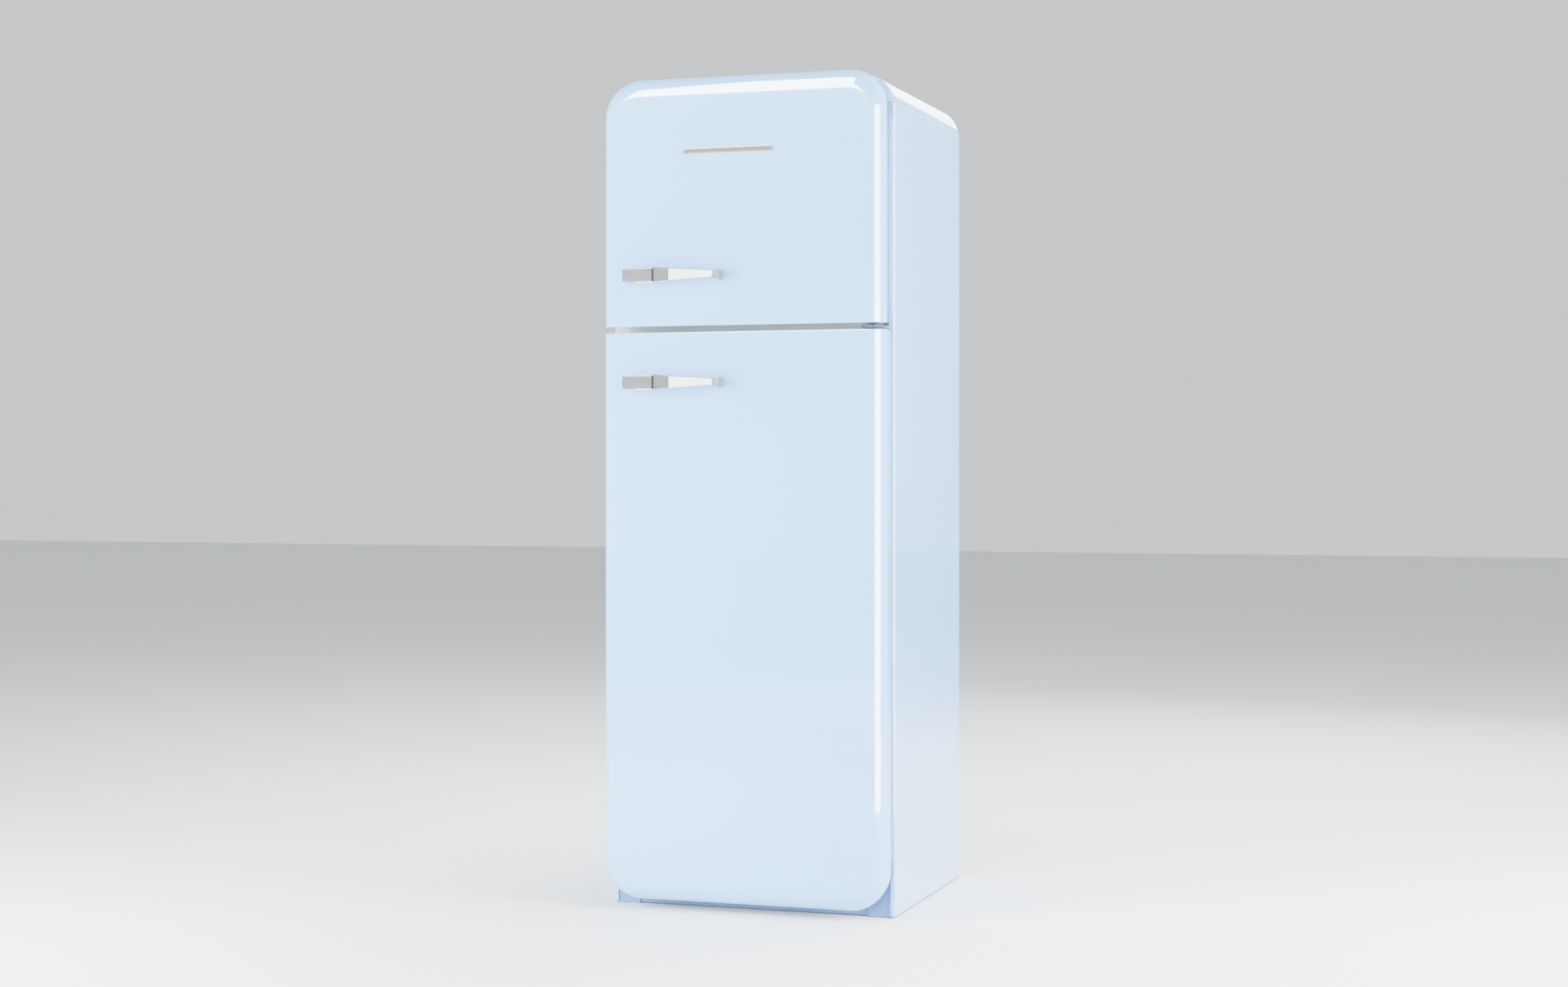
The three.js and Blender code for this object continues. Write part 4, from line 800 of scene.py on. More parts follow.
BELLOWS = [
    (1.2, 14.4), (1.0, 13.2), (4.2, 11.4), (2.0, 9.8), (0.8, 8.4), (2.4, 7.0), (3.6, 5.6), (1.0, 4.6),
    (0.4, 3.8), (0.4, 0.8), (0.9, 0.2), (11.6, 0.2), (12.2, 0.8), (12.2, 4.0), (11.4, 4.8), (8.6, 5.2),
    (8.0, 6.0), (11.0, 7.0), (14.4, 8.8), (14.8, 10.0), (12.2, 11.2), (15.2, 12.6), (15.4, 14.4),
]  # the profile: in from the seal's outer edge, and ahead of the cabinet side; millimetres
for body in ("freezer_door", "fridge_door"):
    low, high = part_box(body + "_gasket")
    section = [(inset * mm, high.y - rise * mm) for inset, rise in BELLOWS]

    def seal_line(inset):
        """The seal's outer edge, drawn in."""
        return outline(low.x + inset, high.x - inset, low.z + inset, high.z - inset, 20 * mm - inset)

    bm = bmesh.new()
    ring_sweep(bm, section, seal_line)
    fit(piece(body + "_seal", bm, seal_vinyl, 50), body, "seal_rubber", body + "_gasket")

# Handles --------------------------------------------------------------------------------------------
# Chromed die castings. A ribbed block stands on the door near its free edge; an arm whose two lips hold
# the block's front runs on as a slanted facet and a narrowing flat bar, and a tapered post carries its
# far end.
chrome, tree = blank_material("chrome")
smears = use(tree, handling, Scale=22.0, Streaks=0.8)
plated = blend(tree, smears, tint("E6E7E9"), tint("D9DADD"))
# Painted highlight: the chrome is painted brighter along every rim.
rim_glint = blend(tree, use(tree, rim_wear_and_highlight, Radius=0.0006, Breakup=0.2), plated, tint("F6F6F7"))
peel = use(tree, orange_peel, Scale=90.0, Fine=0.1)
close(tree, rim_glint, between(tree, smears, 0.035, 0.07), peel, 0.01 * mm, Metallic=1.0)

satin_nickel, tree = blank_material("satin_nickel")
brushed = scaled_noise(tree, 420.0, 3.0, (0.06, 1, 1))
nickel = blend(tree, use(tree, handling, Scale=30.0), tint("9B9C9F"), tint("8A8B8F"))
# Painted highlight: the nickel is painted brighter along every rim.
rim_glint = blend(tree, use(tree, rim_wear_and_highlight, Radius=0.0005, Breakup=0.2), nickel, tint("C9CACC"))
close(tree, rim_glint, between(tree, brushed, 0.26, 0.38), brushed, 0.01 * mm, Metallic=1.0)

RIBS = 7
RIB_DEPTH = 1.8 * mm
RIB_POINTS = 8
GRIP_FACE = 37 * mm  # ahead of the door
GRIP_CORNER = 4 * mm
POCKET = 29 * mm  # how far ahead of the door the arm's socket for the block begins
LIP = 3 * mm
ARM_CHAMFER = 1.1 * mm
ARM_BACK = 24 * mm
ARM_STATIONS = [
    (25.0, 16.0, 32.4, 28.7), (26.5, 16.3, 33.2, 28.7), (64.2, 15.6, 35.0, 28.7), (64.4, 15.5, 35.0, 31.8),
    (99.0, 12.8, 38.6, 36.4), (101.5, 12.6, 39.0, 38.8), (102.3, 12.5, 39.0, 39.0), (194.0, 7.0, 38.0, 38.0),
]  # along the handle, half height, front of the lips and of the floor between them; millimetres
POST = [
    (0.3, 10.0, 11.0), (1.6, 10.0, 11.0), (3.0, 9.0, 10.4), (20.0, 8.1, 10.0),
    (33.0, 7.6, 9.6), (37.6, 7.2, 9.0), (39.0, 6.2, 7.6),
]  # ahead of the door, half height and width; millimetres


def groove(t):
    """How deep a rib's surface lies at a share t of its pitch."""
    return RIB_DEPTH * (1 - (1 - abs(2 * t - 1) ** 3) ** 0.5)


for body in ("freezer", "fridge"):
    door_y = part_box(body + "_door_skin")[0].y
    low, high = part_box(body + "_handle_grip")
    left, middle_z = low.x, (low.z + high.z) / 2
    rings = []
    for k in range(RIBS * RIB_POINTS + 1):
        z = low.z + (high.z - low.z) * k / (RIBS * RIB_POINTS)
        d = groove(k % RIB_POINTS / RIB_POINTS if k < RIBS * RIB_POINTS else 1)
        inside = (left + GRIP_CORNER, door_y - GRIP_FACE + GRIP_CORNER)
        reach = GRIP_CORNER - d
        front = [(inside[0] - reach * cos(a), inside[1] - reach * sin(a), z) for a in quarter(5)]
        seat, shaft = door_y - POCKET - 0.3 * mm, left + 24.7 * mm
        rear = [(high.x, front[-1][1], z), (high.x, seat, z), (shaft, seat, z), (shaft, door_y - 0.3 * mm, z)]
        rings.append([(left + d, door_y - 0.3 * mm, z), *front, *rear])
    bm = bmesh.new()
    loft(bm, rings)
    fit(piece(body + "_grip_block", bm, satin_nickel, 28), body + "_door", "chrome", body + "_handle_grip")

    rings = []
    for x, h, lips, base in ARM_STATIONS:
        lip, c, h = min(LIP, h * mm * 0.5), ARM_CHAMFER, h * mm
        yb, yf, yr = door_y - ARM_BACK, door_y - lips * mm, door_y - base * mm
        line = [(yb + c * 1.5, -h + c * 1.5), (yb + c * 1.5, h - c * 1.5), (yb, h), (yf + c, h), (yf, h - c)]
        line += [(yf, h - lip + 0.3 * mm), (yf + 0.3 * mm, h - lip), (yr, h - lip), (yr, lip - h)]
        line += [(yf + 0.3 * mm, lip - h), (yf, lip - h - 0.3 * mm), (yf, c - h), (yf + c, -h), (yb, -h)]
        rings.append([(left + x * mm, y, middle_z + v) for y, v in line])
    bm = bmesh.new()
    loft(bm, rings)
    bmesh.ops.remove_doubles(bm, verts=bm.verts, dist=0.005 * mm)
    soften(bm, 0.3 * mm, 2, 25)
    fit(piece(body + "_arm", bm, chrome, 30), body + "_door", "chrome", body + "_handle_arm")

    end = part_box(body + "_handle_post")[0].x
    rings = []
    for reach, h, width in POST:
        x1 = end + width * mm
        line = outline(end, x1, middle_z - h * mm, middle_z + h * mm, 1.6 * mm, None, 4)
        rings.append([(u, door_y - reach * mm, v) for u, v in line])
    bm = bmesh.new()
    loft(bm, rings)
    fit(piece(body + "_post", bm, satin_nickel, 40), body + "_door", "chrome", body + "_handle_post")

# Badge ----------------------------------------------------------------------------------------------
# A plain chromed bar with a raised rim, its sunk centre filled with fine upright flutes.
low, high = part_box("badge")
BADGE_RIM = 2.4 * mm
FLUTE_PITCH = 3.2 * mm


def badge_line(inset):
    """The bar's outline with fully rounded ends, drawn in."""
    radius = (high.z - low.z) / 2 - inset - 0.4 * mm
    return outline(low.x + inset, high.x - inset, low.z + inset, high.z - inset, radius, None, 12)


bm = bmesh.new()
levels = [(0, high.y), (0, low.y + 0.8 * mm), (0.3 * mm, low.y + 0.2 * mm), (0.9 * mm, low.y)]
levels += [(BADGE_RIM - 0.6 * mm, low.y), (BADGE_RIM, low.y + 0.5 * mm), (BADGE_RIM, low.y + 1.3 * mm)]
loft(bm, [[(u, y, v) for u, v in badge_line(inset)] for inset, y in levels])
start, end = low.x + 9 * mm, high.x - 9 * mm
for k in range(int((end - start) / FLUTE_PITCH)):
    x = start + (k + 0.5) * FLUTE_PITCH
    corner = Vector((x - 1.1 * mm, low.y + 0.5 * mm, low.z + BADGE_RIM + 0.5 * mm))
    block(bm, corner, (x + 1.1 * mm, low.y + 1.6 * mm, high.z - BADGE_RIM - 0.5 * mm), 0.5 * mm, 2)
fit(piece("badge_bar", bm, chrome, 40), "freezer_door", "chrome", "badge")


# Compartments ---------------------------------------------------------------------------------------
# Each compartment is one white vacuum-formed liner: rounded inside corners, a flat lip that the seal
# closes on, ledges for the shelves and fine flutes down its back wall.
MOUTH_ROUND = 4 * mm
BACK_ROUND = 12 * mm
STEP_ROUND = 10 * mm
INSIDE_CORNER = 20 * mm
LIP = 8 * mm
FLUTE = 1.2 * mm
FREEZER_HALF = 242 * mm
FRIDGE_HALF = 252 * mm
LINER_SHEET = 1.6 * mm


def deep_box(bm, half_width, bottom, top, depth, step=None):
    """The skin of a compartment from its lip to its back wall; step is (y, z) of a raised rear floor."""
    lip_x, lip_low, lip_high = half - FRONT_RETURN - 0.3 * mm, bottom - LIP, top + LIP
    edge = outline(-lip_x, lip_x, lip_low, lip_high, 1.5 * mm)
    rings = [[(u, face_y + inset * mm, v) for u, v in edge] for inset in (1.2, 0.1)]

    def ring(y, grow, low):
        """Adds the outline at one depth, grown outward."""
        line = outline(-half_width - grow, half_width + grow, low - grow, top + grow, INSIDE_CORNER + grow)
        rings.append([(u, y, v) for u, v in line])

    for a in quarter(5):
        ring(face_y + 0.1 * mm + MOUTH_ROUND * (1 - cos(a)), MOUTH_ROUND * (1 - sin(a)), bottom)
    low = bottom
    if step:
        y, rise = step
        r = STEP_ROUND
        for a in quarter(5):
            ring(y - r - 0.6 * mm + r * sin(a), 0, bottom + r * (1 - cos(a)))
        for a in quarter(5):
            ring(y + r * (1 - cos(a)), 0, rise - r * (1 - sin(a)))
        low = rise
    for a in quarter(5):
        ring(depth - BACK_ROUND * (1 - sin(a)), -BACK_ROUND * (1 - cos(a)), low)
    loft(bm, rings, (False, True))


def ledge(bm, half_width, z, start, end):
    """A rounded ledge on each side wall, just under a shelf."""
    for side in (-1, 1):
        inner, outer = side * (half_width - 7 * mm), side * (half_width + 1 * mm)
        block(bm, (inner, start, z - 6.3 * mm), (outer, end, z - 0.4 * mm), 1.6 * mm)


def flutes(bm, half_width, low, high, y):
    """Half-round upright flutes on a back wall."""
    count = int(half_width * 2 / (22 * mm))
    tall = high - low
    rod = [(0.2 * FLUTE, 0), (FLUTE, 4 * mm), (FLUTE, tall - 4 * mm), (0.2 * FLUTE, tall)]
    for k in range(1, count):
        x = -half_width + k * 2 * half_width / count
        lathe(bm, rod, (x, y, low), (0, 0, 1), 8)


liner_low, liner_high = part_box("freezer_liner")
freezer_bottom, freezer_top = liner_low.z + LIP, liner_high.z - LIP
wall_y = liner_high.y - 2 * mm
shelf_low, shelf_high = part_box("freezer_shelf")
bm = bmesh.new()
deep_box(bm, FREEZER_HALF, freezer_bottom, freezer_top, wall_y)
fit(piece("freezer_space", bm, white_plastic, 38, -LINER_SHEET), "cabinet", "white_plastic", "freezer_liner")
bm = bmesh.new()
ledge(bm, FREEZER_HALF, shelf_low.z + 8 * mm, shelf_low.y, shelf_high.y)
fit(piece("freezer_ledges", bm, white_plastic), "cabinet", "white_plastic")

liner_low, liner_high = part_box("fridge_liner")
fridge_bottom, fridge_top = liner_low.z + LIP, liner_high.z - LIP
step_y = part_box("crisper_cover")[1].y + 2 * mm
step_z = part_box("base_pan")[1].z + 36 * mm - 1.2 * mm
bm = bmesh.new()
deep_box(bm, FRIDGE_HALF, fridge_bottom, fridge_top, wall_y, (step_y, step_z))
fit(piece("fridge_space", bm, white_plastic, 38, -LINER_SHEET), "cabinet", "white_plastic", "fridge_liner")
bm = bmesh.new()
for shelf in ("crisper_cover", "fridge_shelf_lower", "fridge_shelf_upper"):
    low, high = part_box(shelf)
    ledge(bm, FRIDGE_HALF, low.z + 8 * mm, low.y, high.y)
flutes(bm, 225 * mm, step_z + 30 * mm, fridge_top - 70 * mm, wall_y)
fit(piece("fridge_ledges", bm, white_plastic), "cabinet", "white_plastic")

# Shelves --------------------------------------------------------------------------------------------
# Toughened glass with ground edges, framed front and back by clipped-on white trims.
shelf_glass, tree = blank_material("shelf_glass")
wiped = use(tree, handling, Scale=6.0, Streaks=1.0)
glass_tone = blend(tree, wiped, tint("E2F1EE"), tint("D5EAE6"))
ground = blend(tree, use(tree, rim_wear_and_highlight, Radius=0.001, Breakup=0.0), glass_tone, tint("9CCDC2"))
close(tree, ground, between(tree, wiped, 0.02, 0.07), wiped, 0.005 * mm, Transmission_Weight=0.9, IOR=1.5)

# The front trim's profile: back from the shelf's edge and up from its top, its foot, and its top again.
TRIM_HEAD = [(14, 0.1), (14, 1.1), (4, 1.3), (1.2, 0), (0, -3)]
TRIM_FOOT = [(0, 1.5), (1.2, 0), (4.2, 0), (5, 1)]
TRIM_GRIP = [(5, -6.3), (14, -6.1), (14, -5.1), (3.2, -5.1), (3.2, 0.1)]
for node in ("crisper_cover", "fridge_shelf_lower", "fridge_shelf_upper", "freezer_shelf"):
    low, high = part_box(node)
    top = high.z
    bm = bmesh.new()
    block(bm, (low.x, low.y + 3 * mm, top - 5 * mm), (high.x, high.y, top), 0.7 * mm)
    fit(piece(node + "_pane", bm, shelf_glass), "cabinet", "shelf_glass", node)
    bm = bmesh.new()
    line = [(y, top + z) for y, z in in_mm(*TRIM_HEAD)]
    line += [(y, low.z + z) for y, z in in_mm(*TRIM_FOOT)]
    line += [(y, top + z) for y, z in in_mm(*TRIM_GRIP)]
    loft(bm, [[(x, low.y + y, z) for y, z in line] for x in (low.x + 8 * mm, high.x - 8 * mm)])
    fit(piece(node + "_front_trim", bm, white_plastic, 50), "cabinet", "white_plastic")
    bm = bmesh.new()
    corner = (low.x + 2 * mm, high.y - 9 * mm, top + 0.1 * mm)
    block(bm, corner, (high.x - 2 * mm, high.y, top + 4 * mm), 1.2 * mm)
    fit(piece(node + "_rear_trim", bm, white_plastic), "cabinet", "white_plastic")

# Drawer and bins ------------------------------------------------------------------------------------
# Clear injection-moulded trays with drawn-in feet, rounded corners, a beaded rim and ribs under it.
clear_plastic, tree = blank_material("clear_plastic")
scuffs = use(tree, handling, Scale=9.0, Streaks=1.0)
clear_tone = blend(tree, scuffs, tint("F1F7FA"), tint("E4EEF3"))
frosted = blend(tree, use(tree, rim_wear_and_highlight, Radius=0.0012), clear_tone, tint("F2F8FB"))
close(tree, frosted, between(tree, scuffs, 0.06, 0.16), scuffs, 0.02 * mm, Transmission_Weight=0.88, IOR=1.45)

TRAY_CORNER = 14 * mm
TRAY_WALL = 2.2 * mm
FOOT_ROUND = 6 * mm
RIM = 1.6 * mm


def tray(bm, low, high, draft=3 * mm):
    """An open tray between two corners, narrower at its foot, with a rolled rim."""
    rings = []

    def ring(z, inset):
        """Adds the outline at one height, drawn in."""
        radius = max(TRAY_CORNER - inset, 2 * mm)
        line = outline(low.x + inset, high.x - inset, low.y + inset, high.y - inset, radius, None, 6)
        rings.append([(u, v, z) for u, v in line])

    ring(low.z, draft + FOOT_ROUND)
    for a in quarter(4)[1:]:
        ring(low.z + FOOT_ROUND * (1 - cos(a)), draft + FOOT_ROUND * (1 - sin(a)))
    ring(high.z - 4 * RIM, RIM + 0.2 * mm)
    ring(high.z - 3 * RIM, 0.4 * mm)
    ring(high.z - RIM, 0)
    ring(high.z - 0.3 * RIM, 0.25 * RIM)
    ring(high.z, RIM)
    ring(high.z - 0.4 * RIM, RIM + TRAY_WALL)
    for a in reversed(quarter(4)):
        ring(low.z + TRAY_WALL + FOOT_ROUND * (1 - cos(a)), draft + TRAY_WALL + FOOT_ROUND * (1 - sin(a)))
    loft(bm, rings)


def ribs_below_rim(bm, low, high, y, count=9):
    """Short upright ribs under a tray's front rim."""
    for k in range(count):
        x = low.x + (high.x - low.x) * (k + 1) / (count + 1)
        foot = (x - 0.8 * mm, y - 0.2 * mm, high.z - 26 * mm)
        block(bm, foot, (x + 0.8 * mm, y + 1.6 * mm, high.z - 7 * mm), 0.5 * mm, 2)


BINS = {
    "bottle_bin": "fridge_door",
    "door_bin": "fridge_door",
    "freezer_door_bin": "freezer_door",
    "ice_bin": "cabinet",
}
for node, body in BINS.items():
    low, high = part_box(node)
    bm = bmesh.new()
    tray(bm, low, high, 1.5 * mm)
    if body != "cabinet":
        ribs_below_rim(bm, low, high, high.y - 2 * mm)
        for side in (-1, 1):
            x = side * (high.x - 0.6 * mm)
            hook = (x, low.y + 8 * mm, high.z - 12 * mm)
            block(bm, hook, (x - side * 3 * mm, low.y + 26 * mm, high.z + 3 * mm), 1 * mm)
    fit(piece(node + "_tray", bm, clear_plastic), body, "clear_plastic", node)

low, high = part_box("dairy_bin")
flap_low, flap_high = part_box("dairy_flap")
pivot_z = high.z - 6 * mm
wall_top = flap_low.z - 2 * mm
bm = bmesh.new()
tray(bm, low, Vector((high.x, high.y, wall_top)), 1.5 * mm)
ribs_below_rim(bm, low, Vector((high.x, high.y, wall_top)), high.y - 2 * mm)
for side in (-1, 1):
    cheek = (side * (high.x - 2.5 * mm), low.y, wall_top - 9 * mm)
    block(bm, cheek, (side * high.x, face_y, high.z), 0.8 * mm)
fit(piece("dairy_bin_tray", bm, clear_plastic), "fridge_door", "clear_plastic", "dairy_bin")

# The dairy bin's lid: a thin bowed cover on two moulded pivots, with a finger lip at its front edge.
bm = bmesh.new()
reach = flap_high.x - 4 * mm
hinge_y, front = face_y - 8 * mm, flap_high.y
lid_line = [(hinge_y - 2 * mm, pivot_z + 2.6 * mm)]
for k in range(1, 8):
    y = hinge_y + (front - 6 * mm - hinge_y) * k / 8
    lid_line.append((y, pivot_z + 0.8 * mm + 0.6 * mm * sin(pi * k / 8)))
lid_line += [(front + y, pivot_z + z) for y, z in in_mm((-5, 0.8), (-1.5, 0), (-0.2, -2))]
lid_line += [(front + y, flap_low.z + z) for y, z in in_mm((0, 1), (-1.2, 0), (-2.3, 1))]
lid_line += [(front + y, pivot_z + z) for y, z in in_mm((-2.4, -2.4), (-5, -1.4))]
lid_line.append((hinge_y, pivot_z - 1.6 * mm))
loft(bm, [[(x, y, z) for y, z in lid_line] for x in (-reach, reach)])
soften(bm, 0.5 * mm, 2, 40)
for start, radius, tip, sides in ((-reach, 3.6 * mm, 3.2 * mm, 24), (flap_low.x, 1.9 * mm, 1.6 * mm, 16)):
    length = -2 * start
    rod = [(tip, 0), (radius, 0.4 * mm), (radius, length - 0.4 * mm), (tip, length)]
    lathe(bm, rod, (start, hinge_y, pivot_z), (1, 0, 0), sides)
lip = (-0.03, front - 1.4 * mm, flap_low.z + 0.5 * mm)
block(bm, lip, (0.03, front + 1.6 * mm, flap_low.z + 3 * mm), 0.8 * mm)
fit(piece("dairy_lid", bm, white_plastic), "dairy_flap", "white_plastic", "dairy_flap")

PULL_HALF = 118 * mm
low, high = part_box("crisper_drawer")
bm = bmesh.new()
drawer_low = Vector((low.x, low.y + 10 * mm, low.z))
tray(bm, drawer_low, high, 3 * mm)
for k in range(12):
    x = low.x + (high.x - low.x) * (k + 1) / 13
    foot = (x - 1 * mm, drawer_low.y + 0.4 * mm, low.z + 24 * mm)
    block(bm, foot, (x + 1 * mm, drawer_low.y + 3.4 * mm, low.z + 100 * mm), 0.7 * mm, 2)
pull = outline(low.x * 0.5, high.x * 0.5, low.y, drawer_low.y + 5 * mm, 5 * mm, 2 * mm, 6)
rings = []
for drop, inset in in_mm((16, 1), (15, 0), (12.5, 0), (11.5, 1)):
    shrink = 1 - inset / PULL_HALF
    rings.append([(x * shrink, y + (inset if y < drawer_low.y else 0), high.z - drop) for x, y in pull])
part = bmesh.new()
loft(part, rings)
join(bm, part)
fit(piece("crisper_tray", bm, clear_plastic), "crisper_drawer", "clear_plastic", "crisper_drawer")

# Thermostat and lamp --------------------------------------------------------------------------------
# A white housing under the ceiling carries the fluted thermostat knob, whose dial has plain numbers,
# and a ribbed clear cover over the lamp.
grey_plastic, tree = blank_material("grey_plastic")
knob_tone = blend(tree, use(tree, handling, Scale=50.0), tint("9FB0C2"), tint("8FA1B4"))
# Painted highlight: the knob's grey is painted lighter along every rim.
smudges_and_rim_highlight = blend(tree, use(tree, rim_wear_and_highlight, Radius=0.0006), knob_tone, tint("C4D0DC"))
satin = between(tree, use(tree, handling, Scale=50.0), 0.35, 0.5)
close(tree, smudges_and_rim_highlight, satin, scaled_noise(tree, 900.0), 0.03 * mm)

low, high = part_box("control_housing")
bm = bmesh.new()
block(bm, low, high, 5 * mm, 4)
for k in range(7):
    y = low.y + (34 + 14 * k) * mm
    for side in (-1, 1):
        inner, outer = side * (high.x - 1 * mm), side * (high.x + 0.4 * mm)
        block(bm, (inner, y, low.z + 10 * mm), (outer, y + 5 * mm, high.z - 8 * mm), 0.6 * mm, 2)
fit(piece("thermostat_housing", bm, white_plastic), "cabinet", "white_plastic", "control_housing")

knob_low, knob_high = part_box("thermostat_knob")
spindle = (0, knob_high.y, (knob_low.z + knob_high.z) / 2)
radius = knob_high.x
bm = bmesh.new()
skirt = [(radius * 0.96, 0), (radius, 0.6 * mm), (radius, 3 * mm)]
skirt += [(radius * 0.9, 4.2 * mm), (radius * 0.84, 5 * mm), (radius * 0.8, 5.4 * mm)]
lathe(bm, skirt, spindle, (0, -1, 0), 96, lambda a: 1 - 0.02 * (cos(24 * a) > 0.2))
bar_low = Vector((-2.6 * mm, knob_low.y, spindle[2] - 0.8 * radius))
block(bm, bar_low, (2.6 * mm, knob_high.y - 4 * mm, spindle[2] + 0.8 * radius), 1.2 * mm)
fit(piece("knob", bm, grey_plastic, 30), "thermostat_knob", "grey_plastic", "thermostat_knob")
bm = bmesh.new()
tail = (-0.6 * mm, knob_low.y - 0.25 * mm, spindle[2] + 0.25 * radius)
block(bm, tail, (0.6 * mm, knob_low.y + 0.5 * mm, spindle[2] + 0.72 * radius), 0.2 * mm, 1)
fit(piece("knob_pointer", bm, white_plastic), "thermostat_knob", "white_plastic")

dial_ink, tree = blank_material("dial_ink")
ink_tone = blend(tree, scaled_noise(tree, 400.0), tint("3F5F7F"), tint("4E6E8C"))
close(tree, ink_tone, between(tree, scaled_noise(tree, 400.0), 0.45, 0.6))
bm = bmesh.new()
NUMBER_STEP = radians(43.2)
for number in range(1, 5):
    curve = bpy.data.curves.new("number", "FONT")
    curve.body = str(number)
    curve.size = 6.5 * mm
    curve.extrude = 0.15 * mm
    curve.align_x, curve.align_y = "CENTER", "CENTER"
    holder = bpy.data.objects.new("number", curve)
    digit = bmesh.new()
    digit.from_mesh(holder.to_mesh())
    turn = (number - 2.5) * NUMBER_STEP
    place = Vector((sin(turn) * radius * 1.3, low.y - 0.1 * mm, spindle[2] + cos(turn) * radius * 1.0))
    place.z = min(place.z, high.z - 4.5 * mm)
    digit.transform(Matrix.Translation(place) @ Matrix.Rotation(pi / 2, 4, "X"))
    join(bm, digit)
    bpy.data.objects.remove(holder)
    bpy.data.curves.remove(curve)
fit(piece("dial_numbers", bm, dial_ink, 30), "cabinet", "white_plastic")

low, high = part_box("lamp_cover")
bm = bmesh.new()
rings = []
for z, inset in [(high.z - low.z, 0), *in_mm((5, 0), (2, 1), (0.6, 3), (0, 6))]:
    radius = 12 * mm - inset * 0.8
    line = outline(low.x + inset, high.x - inset, low.y + inset, high.y - inset, radius, None, 6)
    rings.append([(u, v, low.z + z) for u, v in line])
loft(bm, rings, (False, True))
fit(piece("lamp_lens", bm, clear_plastic, 40, 1.4 * mm), "cabinet", "clear_plastic", "lamp_cover")
bm = bmesh.new()
length = high.x - low.x - 18 * mm
rib = [(0.3 * mm, 0), (0.8 * mm, 1 * mm), (0.8 * mm, length - 1 * mm), (0.3 * mm, length)]
for k in range(13):
    y = low.y + 12 * mm + k * (high.y - low.y - 24 * mm) / 12
    lathe(bm, rib, (low.x + 9 * mm, y, low.z - 0.1 * mm), (1, 0, 0), 8)
fit(piece("lamp_lens_ribs", bm, clear_plastic, 40), "cabinet", "clear_plastic")


# Freezer fittings -----------------------------------------------------------------------------------
# A moulded white cover with a round fan grille and return slots hides the evaporator; the fan's motor
# hangs from a bridge behind it. The evaporator is an aluminium tube through thin pressed fins.
RING_WIRE = 1.3 * mm


def punched(bm, outlines, front, depth, edge):
    """A plate in the XZ plane with holes: the first outline is its rim, the others are cut through."""
    curve = bpy.data.curves.new("plate", "CURVE")
    curve.dimensions = "2D"
    curve.fill_mode = "BOTH"
    curve.extrude = depth / 2 - edge
    curve.bevel_depth = edge
    curve.bevel_resolution = 2
    curve.offset = -edge
    for points in outlines:
        spline = curve.splines.new("POLY")
        spline.points.add(len(points) - 1)
        for point, (u, v) in zip(spline.points, points):
            point.co = (u, v, 0, 1)
        spline.use_cyclic_u = True
    holder = bpy.data.objects.new("plate", curve)
    part = bmesh.new()
    part.from_mesh(holder.to_mesh())
    bmesh.ops.remove_doubles(part, verts=part.verts, dist=0.001 * mm)
    part.transform(Matrix.Translation((0, front + depth / 2, 0)) @ Matrix.Rotation(pi / 2, 4, "X"))
    join(bm, part)
    bpy.data.objects.remove(holder)
    bpy.data.curves.remove(curve)


def pipe(bm, path, radius, bend, sides=10):
    """A round tube along a path whose corners are bends."""
    line = [Vector(p) for p in bent(path, bend, 6)]
    rings = []
    u = (line[1] - line[0]).orthogonal().normalized()
    for i, point in enumerate(line):
        ahead = (line[min(i + 1, len(line) - 1)] - point).normalized()
        behind = (point - line[max(i - 1, 0)]).normalized()
        along = (ahead + behind).normalized()
        u = (u - along * u.dot(along)).normalized()
        v = along.cross(u)
        rings.append([point + (u * cos(a) + v * sin(a)) * radius for a in full_turn(sides)])
    part = bmesh.new()
    loft(part, rings)
    join(bm, part)


def circle(x, z, radius, sides=48):
    """A round outline."""
    return [(x + radius * cos(a), z + radius * sin(a)) for a in full_turn(sides)]


low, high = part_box("evaporator_cover")
fan_low, fan_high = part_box("freezer_fan")
fan_z = (fan_low.z + fan_high.z) / 2
bore = fan_high.x + 4 * mm
slot_low, slot_high = low.z + 21.7 * mm, low.z + 29.7 * mm
slots = []
for k in range(-4, 5):
    x = k * 45 * mm
    slots.append(outline(x - 17 * mm, x + 17 * mm, slot_low, slot_high, 3.5 * mm, None, 4))
bm = bmesh.new()
plate_rim = outline(low.x, high.x, low.z, high.z, INSIDE_CORNER, None, 8)
punched(bm, [plate_rim, circle(0, fan_z, bore)] + slots, low.y, 3 * mm, 0.6 * mm)
for radius in (bore - 0.5 * mm, 34 * mm, 23 * mm, 12 * mm):
    turns = [tau * k / 48 for k in range(49)]
    hoop = [(radius * cos(a), low.y + 1.5 * mm, fan_z + radius * sin(a)) for a in turns]
    pipe(bm, hoop, RING_WIRE, 0.5 * mm, 8)
for a in full_turn(8):
    ends = [(r * cos(a), low.y + 1.5 * mm, fan_z + r * sin(a)) for r in (12 * mm, bore + 1 * mm)]
    pipe(bm, ends, RING_WIRE, 0.5 * mm, 8)
beam_low, beam_high = fan_z - 4 * mm, fan_z + 4 * mm
arm_x = bore + 6 * mm
for side in (-1, 1):
    root = (side * (bore + 2 * mm), low.y + 2 * mm, beam_low)
    block(bm, root, (side * arm_x, high.y, beam_high), 0.8 * mm)
block(bm, (-arm_x, high.y - 4 * mm, beam_low), (arm_x, high.y, beam_high), 0.8 * mm)
motor = in_mm((4, 0), (5, 0.6), (13.5, 0.8), (15, 2), (15, 7), (14, 8))
lathe(bm, motor, (0, high.y - 8 * mm, fan_z), (0, 1, 0), 40)
fit(piece("fan_cover", bm, white_plastic, 32), "cabinet", "white_plastic", "evaporator_cover")

